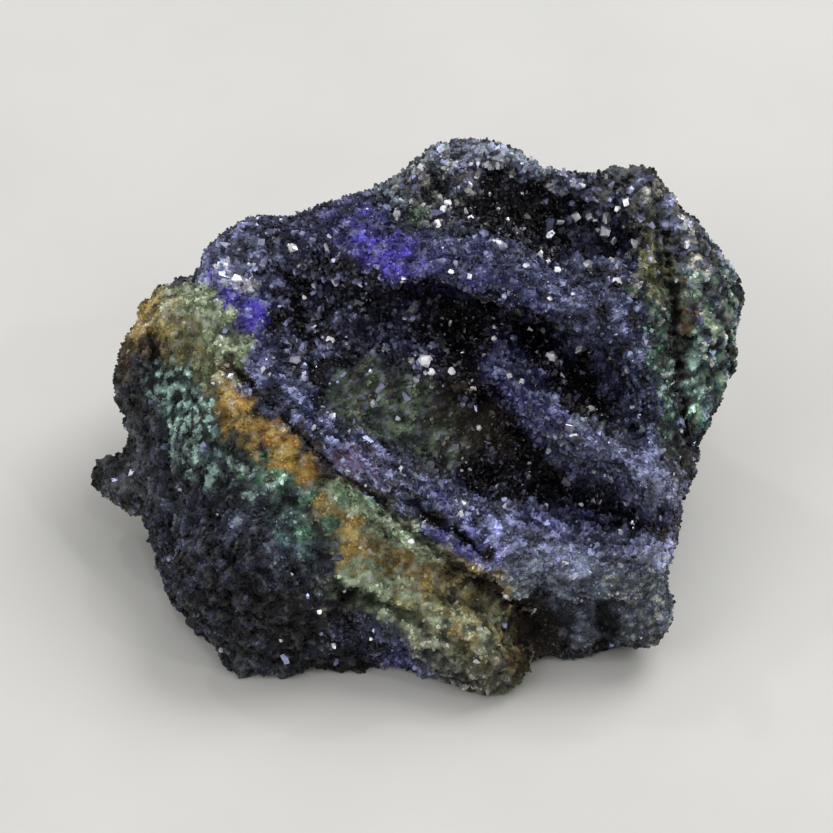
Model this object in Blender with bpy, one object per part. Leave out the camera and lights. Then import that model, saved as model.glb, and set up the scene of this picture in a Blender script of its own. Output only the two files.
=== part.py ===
"""A malachite geode: one loose stone, broken open across a hollow lined with azurite.

The stone stands on a flat broken foot in the plane Z = 0, with X across it, +Y away
from the open side and +Z up. Its open face looks forward and up. Places on that face
are given as (across, up), in millimetres, measured square to the way it looks.
"""

import math
from dataclasses import dataclass

import bmesh
import bpy
import numpy as np
from mathutils import Vector, noise

MM = 0.001

# Driving dimensions, in millimetres.
LENGTH = 46.0
FOOT_DEPTH = -2.2
FOOT_CUT = 0.2
# How far above level the open face looks.
FACE_ELEVATION = math.radians(42.5)
# The skin's grain while it is worked and when it is done, and the rounding of each.
SKIN_VOXEL = 0.55
SKIN_SMOOTHING = 8
FINAL_VOXEL = 0.50
FINAL_SMOOTHING = 3
FINAL_TRIANGLES = 10000
# How far, and over what distance, the strokes on the face stray from their routes.
WANDER = 1.1
WANDER_SIZE = 5.0
# Weathering, as (size, height) of each wave, and the lumps of the outer crust.
WAVES = ((9.0, 0.9), (4.2, 0.55))
LUMP_SIZE = 4.6
LUMP_HEIGHT = 1.1
# How much lower the lumps are on the open face.
LUMPS_LOST_ON_FACE = 0.6
NOISE_SEED = 11

# The face's own axes.
ACROSS = np.array((1.0, 0.0, 0.0))
UP = np.array((0.0, math.sin(FACE_ELEVATION), math.cos(FACE_ELEVATION)))
OUT = np.array((0.0, -math.cos(FACE_ELEVATION), math.sin(FACE_ELEVATION)))

# Corners of the stone's faceted bulk, (x, y, z) in millimetres.
BACK_RIM = (
    (5.0, 8.6, 27.4),
    (1.6, 8.8, 26.4),
    (-3.6, 8.8, 22.2),
    (-8.8, 8.6, 22.6),
    (-12.2, 8.0, 22.2),
    (-14.6, 7.4, 19.4),
    (-20.0, 5.6, 15.0),
    (9.0, 9.0, 24.2),
    (14.0, 9.2, 25.0),
    (16.8, 9.2, 25.2),
    (19.8, 8.6, 23.0),
    (21.6, 7.2, 19.0),
    (21.0, 6.0, 13.4),
)
FRONT_RIM = (
    (-14.0, 2.0, 21.0),
    (-3.6, -6.8, 14.4),
    (4.2, -11.2, 11.2),
    (16.2, -11.0, 9.0),
    (17.8, -7.4, 12.6),
    (17.4, 0.0, 19.2),
    (16.4, 5.8, 25.4),
    (4.2, 4.4, 27.8),
)
FRONT_FLANK = (
    (-21.6, 3.0, 11.4),
    (-19.4, -3.2, 7.8),
    (-17.0, -8.0, 5.2),
    (-14.8, -3.4, 15.0),
    (-12.8, -10.6, 11.2),
    (-8.4, -14.4, 7.6),
    (-12.6, -15.0, 3.4),
    (4.4, -15.4, 6.0),
    (12.8, -13.4, 5.0),
    (16.4, -11.6, 3.8),
    (18.8, -0.2, 12.6),
    (15.8, -3.4, 9.4),
)
BACK_FLANK = (
    (-16.6, 12.5, 7.0),
    (-9.0, 16.0, 7.0),
    (4.0, 17.0, 8.5),
    (14.0, 15.8, 7.5),
    (19.2, 10.6, 8.0),
    (0.5, 13.3, 21.6),
    (10.5, 14.0, 19.6),
    (-10.5, 12.6, 17.0),
    (17.8, 12.8, 16.5),
)
FOOT_RIM = (
    (-15.4, -10.8, FOOT_DEPTH),
    (-12.6, -12.4, FOOT_DEPTH),
    (-5.5, -12.6, FOOT_DEPTH),
    (4.6, -13.4, FOOT_DEPTH),
    (9.4, -11.6, FOOT_DEPTH),
    (14.0, -10.4, FOOT_DEPTH),
    (15.0, -4.0, FOOT_DEPTH),
    (15.4, 5.0, FOOT_DEPTH),
    (13.6, 12.0, FOOT_DEPTH),
    (3.0, 14.0, FOOT_DEPTH),
    (-8.0, 13.0, FOOT_DEPTH),
    (-15.0, 8.0, FOOT_DEPTH),
    (-17.2, -1.0, FOOT_DEPTH),
)


@dataclass(frozen=True)
class Stroke:
    """A soft channel or, with depths under 0, a ridge along a route on the face, in mm.

    It is depths[0] deep where its route starts and depths[1] where it ends, level over
    the share flat of its reach, and its middle is drawn (across, up) by drag.
    """

    route: tuple
    reach: float
    depths: tuple
    flat: float = 0.35
    drag: tuple = (0.0, 0.0)


# Hollows of the geode. Where they overlap, the deepest one counts.
HOLLOWS = (
    # The dished floor of the whole open face.
    Stroke(((-8.0, 14.4), (-1.0, 10.8), (6.0, 8.4), (12.0, 6.0)), 8.6, (3.2, 3.6)),
    # The long upper pocket, which runs in under the arched ridge.
    Stroke(
        ((-10.0, 16.2), (-6.6, 15.2), (-3.0, 14.4), (1.4, 14.0), (5.2, 13.2), (8.2, 12.4)),
        4.8,
        (3.6, 11.6),
        flat=0.3,
        drag=(0.0, 2.2),
    ),
    # The right pocket, behind the inner spur.
    Stroke(((8.8, 13.0), (11.2, 11.4), (13.0, 9.4)), 3.9, (10.6, 9.4), drag=(0.8, 1.2)),
    # The lower pocket, in front of the inner spur.
    Stroke(
        ((5.6, 8.8), (7.4, 5.6), (10.4, 3.4), (14.6, 2.6)), 3.5, (9.0, 8.4), drag=(0.5, 1.2)
    ),
    # The floor that rises to the lower lip.
    Stroke(((-4.6, 10.0), (0.2, 7.8), (4.6, 5.8)), 4.5, (5.2, 8.0)),
    # The dark hollow between the arched ridge and the peak.
    Stroke(
        ((-1.4, 22.6), (3.0, 22.9), (7.4, 22.2), (10.6, 21.2), (13.2, 20.4)),
        3.3,
        (2.6, 7.6),
        drag=(0.0, 0.8),
    ),
)

# Ridges and lips left standing, and the lesser grooves, added one after another.
RIDGES = (
    # The arched azurite ridge between the pockets, leaning over the lower one.
    Stroke(
        (
            (-14.0, 17.6),
            (-11.6, 19.3),
            (-8.8, 20.6),
            (-5.6, 21.1),
            (-2.6, 20.3),
            (0.4, 19.2),
            (3.4, 18.8),
            (6.2, 18.2),
            (8.8, 16.8),
            (11.4, 15.2),
            (13.8, 12.6),
            (15.8, 8.8),
            (17.1, 5.2),
        ),
        3.3,
        (-1.9, -1.6),
        drag=(-0.2, -1.2),
    ),
    # The inner spur that splits the hollow.
    Stroke(
        ((6.4, 11.8), (7.2, 9.9), (8.6, 7.9), (10.6, 6.2), (13.2, 5.2), (16.4, 4.8)),
        2.9,
        (-3.4, -5.2),
        drag=(-0.6, -0.3),
    ),
    # The lower lip.
    Stroke(
        (
            (-12.8, 13.6),
            (-10.4, 10.8),
            (-7.4, 8.4),
            (-4.6, 6.2),
            (-1.9, 3.9),
            (1.2, 2.0),
            (4.4, 0.4),
            (8.0, -0.8),
            (12.2, -1.2),
            (16.4, -0.8),
        ),
        3.1,
        (-1.8, -2.2),
        drag=(-0.6, -0.8),
    ),
    # The crack between that lip and the banded wall outside it.
    Stroke(
        (
            (-13.1, 12.2),
            (-11.0, 9.5),
            (-8.9, 7.5),
            (-6.8, 5.3),
            (-5.1, 3.7),
            (-2.5, 1.4),
            (-0.4, -1.1),
            (1.7, -2.5),
            (3.8, -3.8),
            (5.9, -4.9),
            (7.4, -5.7),
        ),
        1.5,
        (1.4, 1.8),
    ),
    # The undercut below the right end of the lower lip.
    Stroke(((7.4, -5.8), (10.6, -4.8), (14.6, -4.2)), 2.0, (1.6, 0.8)),
    # The notch where the banded wall meets the botryoidal foot at the right.
    Stroke(((7.4, -6.6), (8.4, -8.8), (9.0, -11.2)), 1.8, (1.8, 1.4)),
    # The notch between the granular flank and the foot of the banded wall.
    Stroke(((-5.0, -4.4), (-3.8, -6.6), (-2.4, -8.8), (-1.0, -10.6)), 2.0, (0.6, 1.6)),
    # The seam in the broken right wall.
    Stroke(((17.0, 22.2), (17.8, 17.0), (18.3, 11.6), (19.0, 5.5)), 1.6, (1.6, 2.0)),
)

# Bosses that stand off the faceted bulk: centre, radii and turn about the view line.
BOSSES = (
    ((-20.8, 0.2, 5.4), (2.5, 2.6, 1.9), 20.0),
    ((18.6, 5.2, 15.8), (4.1, 5.0, 5.6), 0.0),
    ((-15.4, 7.2, 11.4), (4.2, 5.0, 4.0), -15.0),
    ((14.2, -11.4, 5.0), (3.0, 3.0, 3.4), 0.0),
    ((4.6, -13.4, 3.4), (4.4, 4.0, 4.2), 0.0),
    ((-10.6, -10.8, 6.4), (6.0, 5.0, 5.2), 0.0),
    ((-10.6, -11.2, 1.6), (4.4, 4.2, 4.8), 0.0),
    ((3.4, 8.8, 24.2), (5.0, 4.0, 3.8), 10.0),
    ((9.0, 13.9, 10.6), (7.0, 4.4, 6.4), 0.0),
    ((-7.0, 12.7, 9.6), (6.4, 4.4, 5.6), 0.0),
)


def clear_scene():
    """Removes the startup objects."""
    for obj in list(bpy.data.objects):
        bpy.data.objects.remove(obj, do_unlink=True)


def new_object(name, mesh):
    """Links a mesh to the scene as an object of that name."""
    obj = bpy.data.objects.new(name, mesh)
    bpy.context.scene.collection.objects.link(obj)
    return obj


def faceted_bulk():
    """The stone's bulk: the convex hull of its corners."""
    bm = bmesh.new()
    corners = BACK_RIM + FRONT_RIM + FRONT_FLANK + BACK_FLANK + FOOT_RIM
    for corner in corners:
        bm.verts.new(Vector(corner) * MM)
    hull = bmesh.ops.convex_hull(bm, input=bm.verts)
    loose = [v for v in hull["geom_interior"] if isinstance(v, bmesh.types.BMVert)]
    bmesh.ops.delete(bm, geom=loose, context="VERTS")
    bmesh.ops.recalc_face_normals(bm, faces=bm.faces)
    mesh = bpy.data.meshes.new("bulk")
    bm.to_mesh(mesh)
    bm.free()
    return new_object("bulk", mesh)


def boss(index, centre, radii, turn):
    """One rounded boss, an icosphere stretched to its radii."""
    bm = bmesh.new()
    bmesh.ops.create_icosphere(bm, subdivisions=3, radius=1.0)
    for vert in bm.verts:
        vert.co = Vector(c * r * MM for c, r in zip(vert.co, radii))
    mesh = bpy.data.meshes.new(f"boss_{index}")
    bm.to_mesh(mesh)
    bm.free()
    obj = new_object(mesh.name, mesh)
    obj.location = Vector(centre) * MM
    obj.rotation_euler = (0.0, math.radians(turn), 0.0)
    return obj


def joined(objects):
    """All the objects' meshes in one mesh, with their places applied."""
    bm = bmesh.new()
    bpy.context.view_layer.update()
    for obj in objects:
        part = obj.data.copy()
        part.transform(obj.matrix_world)
        bm.from_mesh(part)
        bpy.data.meshes.remove(part)
        bpy.data.objects.remove(obj, do_unlink=True)
    mesh = bpy.data.meshes.new("rough")
    bm.to_mesh(mesh)
    bm.free()
    return mesh


def with_modifiers(mesh, *settings):
    """The mesh as it comes out of these modifiers, each given as (type, options)."""
    obj = new_object("worked", mesh)
    for kind, options in settings:
        modifier = obj.modifiers.new(kind.lower(), kind)
        for key, value in options.items():
            setattr(modifier, key, value)
    bpy.context.view_layer.update()
    graph = bpy.context.evaluated_depsgraph_get()
    made = bpy.data.meshes.new_from_object(obj.evaluated_get(graph))
    bpy.data.objects.remove(obj, do_unlink=True)
    return made


def even_skin(mesh, voxel, smoothing):
    """The mesh's outer skin in even faces of about a voxel, in mm, smoothed."""
    remesh = {"mode": "VOXEL", "voxel_size": voxel * MM}
    return with_modifiers(mesh, ("REMESH", remesh), ("SMOOTH", {"iterations": smoothing}))


def smooth_route(route, per_span=10):
    """Points along a Catmull-Rom curve through the route."""
    points = [np.array(p, float) for p in route]
    ends = [2 * points[0] - points[1], *points, 2 * points[-1] - points[-2]]
    found = []
    for before, start, end, after in zip(ends, ends[1:], ends[2:], ends[3:]):
        for step in range(per_span):
            t = step / per_span
            found.append(
                0.5
                * (
                    2 * start
                    + (end - before) * t
                    + (2 * before - 5 * start + 4 * end - after) * t**2
                    + (3 * start - before - 3 * end + after) * t**3
                )
            )
    return np.array([*found, points[-1]])


def wandered(places):
    """The places shifted by slow and quick noise, so that no stroke runs dead even."""
    shifts = []
    for place in places:
        slow = noise.noise_vector(Vector((*(place / WANDER_SIZE), 3.7)))
        quick = noise.noise_vector(Vector((*(place * 2.6 / WANDER_SIZE), 8.1)))
        shifts.append((slow + quick * 0.5)[:2])
    return places + WANDER * np.array(shifts)


def pressed(stroke, places):
    """The stroke's depth at each place on the face, and its strength from 0 to 1."""
    route = smooth_route(stroke.route)
    gaps = np.linalg.norm(places[:, None, :] - route[None, :, :], axis=2)
    along = gaps.argmin(axis=1) / (len(route) - 1)
    share = 1 - smooth_step((gaps.min(axis=1) / stroke.reach - stroke.flat) / (1 - stroke.flat))
    start, end = stroke.depths
    return (start + (end - start) * along) * share, share


def points_of(mesh):
    """The mesh's points in millimetres."""
    found = np.empty(len(mesh.vertices) * 3, np.float32)
    mesh.vertices.foreach_get("co", found)
    return found.reshape(-1, 3).astype(float) / MM


def set_points(mesh, points):
    """Moves the mesh's points to these places in millimetres."""
    mesh.vertices.foreach_set("co", (points * MM).astype(np.float32).ravel())
    mesh.update()


def smooth_step(values):
    """Values from 0 to 1 eased at both ends, and held there outside."""
    values = np.clip(values, 0, 1)
    return values * values * (3 - 2 * values)


def normals_of(mesh):
    """The direction that each point of the mesh faces."""
    return np.array([v.normal for v in mesh.vertices])


def facing_out(mesh):
    """How much each point of the mesh faces the way the open face looks, 0 to 1."""
    return smooth_step((normals_of(mesh) @ OUT - 0.02) / 0.25)


def carve(mesh):
    """Sinks the pockets into the open face, and leaves the ridges standing on it."""
    points = points_of(mesh)
    places = wandered(np.column_stack((points @ ACROSS, points @ UP)))
    deepest = np.zeros(len(points))
    moves = np.zeros_like(points)
    for stroke in HOLLOWS:
        depth, share = pressed(stroke, places)
        move = np.outer(share, aside(stroke)) - np.outer(depth, OUT)
        deeper = depth > deepest
        moves[deeper] = move[deeper]
        deepest[deeper] = depth[deeper]
    for stroke in RIDGES:
        depth, share = pressed(stroke, places)
        moves += np.outer(share, aside(stroke)) - np.outer(depth, OUT)
    set_points(mesh, points + moves * facing_out(mesh)[:, None])


def aside(stroke):
    """The way a stroke draws its middle aside, in mm."""
    return stroke.drag[0] * ACROSS + stroke.drag[1] * UP


def weather(mesh):
    """Roughens the skin with waves of noise."""
    points = points_of(mesh)
    moved = points.copy()
    for size, height in WAVES:
        for index, point in enumerate(points):
            moved[index] += height * np.array(noise.noise_vector(Vector(point / size)))
    set_points(mesh, moved)


def make_lumpy(mesh):
    """Swells the skin into rounded lumps, lower on the open face than on the crust."""
    points = points_of(mesh)
    normals = normals_of(mesh)
    heights = LUMP_HEIGHT * (1 - LUMPS_LOST_ON_FACE * facing_out(mesh))
    for index, point in enumerate(points):
        to_lump = noise.voronoi(Vector(point / LUMP_SIZE))[0][0]
        points[index] += heights[index] * (0.5 - to_lump) * normals[index]
    set_points(mesh, points)


def keep_largest(mesh):
    """Deletes every shell of the mesh but the one with the most faces."""
    bm = bmesh.new()
    bm.from_mesh(mesh)
    unseen = set(bm.faces)
    shells = []
    while unseen:
        edge_of_search = [unseen.pop()]
        shell = list(edge_of_search)
        while edge_of_search:
            face = edge_of_search.pop()
            near = {f for e in face.edges for f in e.link_faces} & unseen
            unseen -= near
            edge_of_search.extend(near)
            shell.extend(near)
        shells.append(shell)
    shells.sort(key=len)
    for shell in shells[:-1]:
        bmesh.ops.delete(bm, geom=shell, context="FACES")
    bm.to_mesh(mesh)
    bm.free()


def cut_foot(mesh):
    """Cuts the underside off flat, and stands the stone on the cut at its centre."""
    bm = bmesh.new()
    bm.from_mesh(mesh)
    plane = Vector((0, 0, FOOT_CUT * MM))
    everything = bm.verts[:] + bm.edges[:] + bm.faces[:]
    cut = bmesh.ops.bisect_plane(
        bm, geom=everything, plane_co=plane, plane_no=(0, 0, 1), clear_inner=True
    )
    rim = [e for e in cut["geom_cut"] if isinstance(e, bmesh.types.BMEdge)]
    bmesh.ops.holes_fill(bm, edges=rim, sides=0)
    bmesh.ops.triangulate(bm, faces=bm.faces)
    bmesh.ops.recalc_face_normals(bm, faces=bm.faces)
    low = [min(v.co[i] for v in bm.verts) for i in range(3)]
    high = [max(v.co[i] for v in bm.verts) for i in range(3)]
    scale = LENGTH * MM / (high[0] - low[0])
    middle = Vector(((low[0] + high[0]) / 2, (low[1] + high[1]) / 2, low[2]))
    for vert in bm.verts:
        vert.co = (vert.co - middle) * scale
    bm.to_mesh(mesh)
    bm.free()


def stone_material():
    """Dark azurite and malachite, uneven and slightly glossy."""
    material = bpy.data.materials.new("azurite_malachite")
    material.use_nodes = True
    shader = material.node_tree.nodes["Principled BSDF"]
    shader.inputs["Base Color"].default_value = (0.05, 0.07, 0.12, 1.0)
    shader.inputs["Roughness"].default_value = 0.6
    shader.inputs["Metallic"].default_value = 0.0
    return material


def build():
    """Builds the stone."""
    clear_scene()
    noise.seed_set(NOISE_SEED)
    bosses = [boss(index, *spec) for index, spec in enumerate(BOSSES)]
    rough = joined([faceted_bulk(), *bosses])
    skin = even_skin(rough, SKIN_VOXEL, SKIN_SMOOTHING)
    carve(skin)
    weather(skin)
    make_lumpy(skin)
    skin = even_skin(skin, FINAL_VOXEL, FINAL_SMOOTHING)
    keep_largest(skin)
    share = FINAL_TRIANGLES / (2 * len(skin.polygons))
    thinning = {"ratio": share, "use_collapse_triangulate": True}
    stone = with_modifiers(skin, ("TRIANGULATE", {}), ("DECIMATE", thinning))
    cut_foot(stone)
    stone.materials.append(stone_material())
    new_object("geode_stone", stone)


build()
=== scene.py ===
"""The look of a malachite geode: a loose stone, broken open across a hollow lined with azurite.

The stone stands on its flat foot in the plane Z = 0, with X across it, +Y away from the
open side and +Z up. Sizes in the classes are in millimetres, and the scene is in metres.
Places on the open face are (across, up), measured square to the way that face looks.
"""

import logging
import math
from collections.abc import Callable, Sequence
from dataclasses import dataclass, field
from enum import Enum

import bmesh
import bpy
import numpy as np
from mathutils import Matrix, Vector, noise


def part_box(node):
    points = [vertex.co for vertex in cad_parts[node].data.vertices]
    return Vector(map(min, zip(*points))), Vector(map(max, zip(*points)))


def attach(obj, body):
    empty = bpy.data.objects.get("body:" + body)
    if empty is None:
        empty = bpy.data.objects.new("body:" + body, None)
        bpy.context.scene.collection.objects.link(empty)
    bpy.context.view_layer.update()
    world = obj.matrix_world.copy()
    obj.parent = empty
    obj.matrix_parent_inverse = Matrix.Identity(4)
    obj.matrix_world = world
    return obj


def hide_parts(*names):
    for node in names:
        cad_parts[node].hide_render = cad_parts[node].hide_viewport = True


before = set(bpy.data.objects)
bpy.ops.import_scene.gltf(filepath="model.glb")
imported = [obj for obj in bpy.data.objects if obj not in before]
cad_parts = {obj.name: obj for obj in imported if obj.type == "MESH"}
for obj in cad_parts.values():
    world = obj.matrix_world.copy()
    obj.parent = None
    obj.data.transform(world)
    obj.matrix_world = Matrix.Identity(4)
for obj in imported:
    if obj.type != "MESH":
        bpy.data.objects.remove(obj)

MM = 0.001
CAD_NODE = "geode_stone"
BODY = "root"
BAKE_MAP = "OFBake"
NOISE_SEED = 11
# The tone of the few pale grains that carry a painted glint, above that of any other.
GLINT_TONE = 2.0

log = logging.getLogger("geode")

Array = np.ndarray
Socket = bpy.types.NodeSocket
Route = tuple[tuple[float, float], ...]
Color = tuple[float, float, float, float]


# ---------------------------------------------------------------- numbers and places


def smooth_step(values: Array) -> Array:
    """Values from 0 to 1 eased at both ends, and held there outside."""
    values = np.clip(values, 0.0, 1.0)
    return values * values * (3.0 - 2.0 * values)


def linear(red: int, green: int, blue: int) -> Color:
    """A colour given as it shows on a screen, from 0 to 255, as a shader's colour.

    Args:
        red: The red share.
        green: The green share.
        blue: The blue share.

    Returns:
        The colour in linear light, with full alpha.
    """
    shares = [value / 255.0 for value in (red, green, blue)]
    return (*[s / 12.92 if s <= 0.04045 else ((s + 0.055) / 1.055) ** 2.4 for s in shares], 1.0)


def waves(points: Array, size: float, salt: float = 0.0) -> Array:
    """Smooth noise, from -1 to 1, at each point.

    Args:
        points: Places in millimetres.
        size: The length of a wave.
        salt: A number that sets this noise apart from others.

    Returns:
        One value for each point.
    """
    shift = Vector((17.3, 5.1, 9.7)) * salt
    return np.array([noise.noise(Vector(p) / size + shift) for p in points])


def two_waves(
    points: Array, sizes: tuple[float, float], share: float, salts: tuple[float, float]
) -> Array:
    """Smooth noise with a finer one laid over it at a share of its height.

    Args:
        points: Places in millimetres.
        sizes: The lengths of the coarser and the finer waves.
        share: The height of the finer waves.
        salts: What sets each apart from others.

    Returns:
        One value for each point.
    """
    return waves(points, sizes[0], salts[0]) + share * waves(points, sizes[1], salts[1])


def pebbles(points: Array, size: float, salt: float = 0.0) -> Array:
    """The height, from 0 to 1, of a skin of rounded lumps at each point.

    Args:
        points: Places in millimetres.
        size: The distance from lump to lump.
        salt: A number that sets these lumps apart from others.

    Returns:
        One value for each point.
    """
    shift = Vector((3.9, 11.1, 7.7)) * salt
    gaps = np.array([noise.voronoi(Vector(p) / size + shift)[0][0] for p in points])
    return np.sqrt(np.clip(1.0 - (gaps / 0.8) ** 2, 0.0, 1.0))


@dataclass(frozen=True)
class OpenFace:
    """The plane that the broken face is measured in."""

    elevation: float = math.radians(42.5)
    points_per_span: int = 10

    @property
    def up(self) -> Array:
        """The way up the face."""
        return np.array((0.0, math.sin(self.elevation), math.cos(self.elevation)))

    @property
    def out(self) -> Array:
        """The way that the face looks."""
        return np.array((0.0, -math.cos(self.elevation), math.sin(self.elevation)))

    def places(self, points: Array) -> Array:
        """Points in space, in millimetres, as (across, up) on the face."""
        return np.column_stack((points[:, 0], points @ self.up))

    def curve(self, route: Route) -> Array:
        """Points along a Catmull-Rom curve through a route.

        Args:
            route: The (across, up) places that the curve runs through.

        Returns:
            The curve's points, or the one place of a route of one place.
        """
        points = [np.array(p, float) for p in route]
        if len(points) == 1:
            return np.array(points)
        ends = [2 * points[0] - points[1], *points, 2 * points[-1] - points[-2]]
        found = []
        for before, start, end, after in zip(ends, ends[1:], ends[2:], ends[3:]):
            for step in range(self.points_per_span):
                t = step / self.points_per_span
                turn = (2 * before - 5 * start + 4 * end - after) * t**2
                twist = (3 * start - before - 3 * end + after) * t**3
                found.append(0.5 * (2 * start + (end - before) * t + turn + twist))
        return np.array([*found, points[-1]])

    def gaps(self, route: Route, places: Array) -> Array:
        """How far each place is from a route, in millimetres."""
        curve = self.curve(route)
        nearest = np.full(len(places), np.inf)
        for point in curve:
            nearest = np.minimum(nearest, np.hypot(*(places - point).T))
        return nearest

    def facing(self, normals: Array) -> Array:
        """How much each normal looks the way the face does, from 0 to 1."""
        return smooth_step((normals @ self.out + 0.12) / 0.3)


# ---------------------------------------------------------------- what lies where


class Mineral(Enum):
    """What the stone's surface is made of at a place."""

    CRUST = 0
    DRUSE = 1
    VELVET = 2
    MALACHITE = 3
    LIMONITE = 4
    EARTH = 5
    NODULE = 6

    @property
    def layer(self) -> str:
        """The name of the mesh attribute that holds how much of it there is."""
        return self.name.lower()


class Tint(Enum):
    """The colours that the stone is made up of, dark to pale within each kind."""

    SOOT = linear(13, 13, 16)
    INK = linear(17, 15, 22)
    NAVY = linear(25, 29, 42)
    CHARCOAL = linear(30, 34, 42)
    SMOKE = linear(66, 69, 71)
    SLATE = linear(68, 76, 84)
    STEEL = linear(134, 146, 156)
    DUSK = linear(47, 52, 82)
    INDIGO = linear(54, 54, 104)
    VIOLET = linear(80, 68, 172)
    MAUVE = linear(90, 78, 106)
    LILAC = linear(94, 96, 124)
    LAVENDER = linear(142, 147, 184)
    DEEP_TEAL = linear(26, 44, 50)
    TEAL = linear(72, 108, 106)
    FOAM = linear(170, 200, 190)
    LEAF = linear(98, 150, 114)
    SAGE = linear(116, 136, 108)
    LICHEN = linear(178, 188, 162)
    OLIVE = linear(58, 60, 52)
    MOSS = linear(92, 92, 60)
    KHAKI = linear(114, 110, 82)
    MUSTARD = linear(164, 146, 90)
    OCHRE = linear(160, 125, 58)
    RUST = linear(122, 84, 46)
    UMBER = linear(46, 36, 27)
    CREAM = linear(196, 194, 182)
    # The white of the pale grains and of painted highlights.
    FROST = linear(250, 250, 255)


@dataclass(frozen=True)
class Patch:
    """A stretch of the open face painted in one tint along a route.

    With a mineral, the stretch turns to that mineral too. With spots, only spots of that
    size are painted, which cover that share of the stretch.
    """

    tint: Tint
    route: Route
    reach: float
    strength: float = 1.0
    soft: float = 1.0
    mineral: Mineral | None = None
    spots: float = 0.0
    cover: float = 0.4


@dataclass(frozen=True)
class Groove:
    """A narrow channel along a route on the face."""

    route: Route
    reach: float
    depth: float
    flat: float = 0.1


# A place on the open face is told as a pixel of an 833-pixel view of it. This pixel is the
# face's origin, and so many pixels make a millimetre.
ORIGIN_PIXEL = (417, 410)
PIXELS_PER_MM = 4.74


def place_of(x: float, y: float) -> tuple[float, float]:
    """The place across and up the open face, to a tenth of a millimetre, of a pixel."""
    across = (x - ORIGIN_PIXEL[0]) / PIXELS_PER_MM
    up = (ORIGIN_PIXEL[1] - y) / PIXELS_PER_MM
    return round(across, 1), round(up, 1)


def along(*pixels: tuple[float, float]) -> Route:
    """The route through these pixels."""
    return tuple(place_of(x, y) for x, y in pixels)


# The arched ridge between the pockets, and the crack between the lip and the banded wall.
ARCH = along(
    (350, 325), (362, 317), (375, 311), (390, 307), (403, 309), (415, 317), (430, 320),
    (445, 323), (458, 330), (470, 338), (482, 350), (492, 366),
)
CRACK = along(
    (354, 352), (363, 362.5), (376, 375.5), (389, 388), (397, 394.5), (405, 400), (411, 405.5),
    (416.5, 411.4), (424, 417.5), (431, 422), (439, 427), (447, 433), (454, 439),
)

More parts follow.
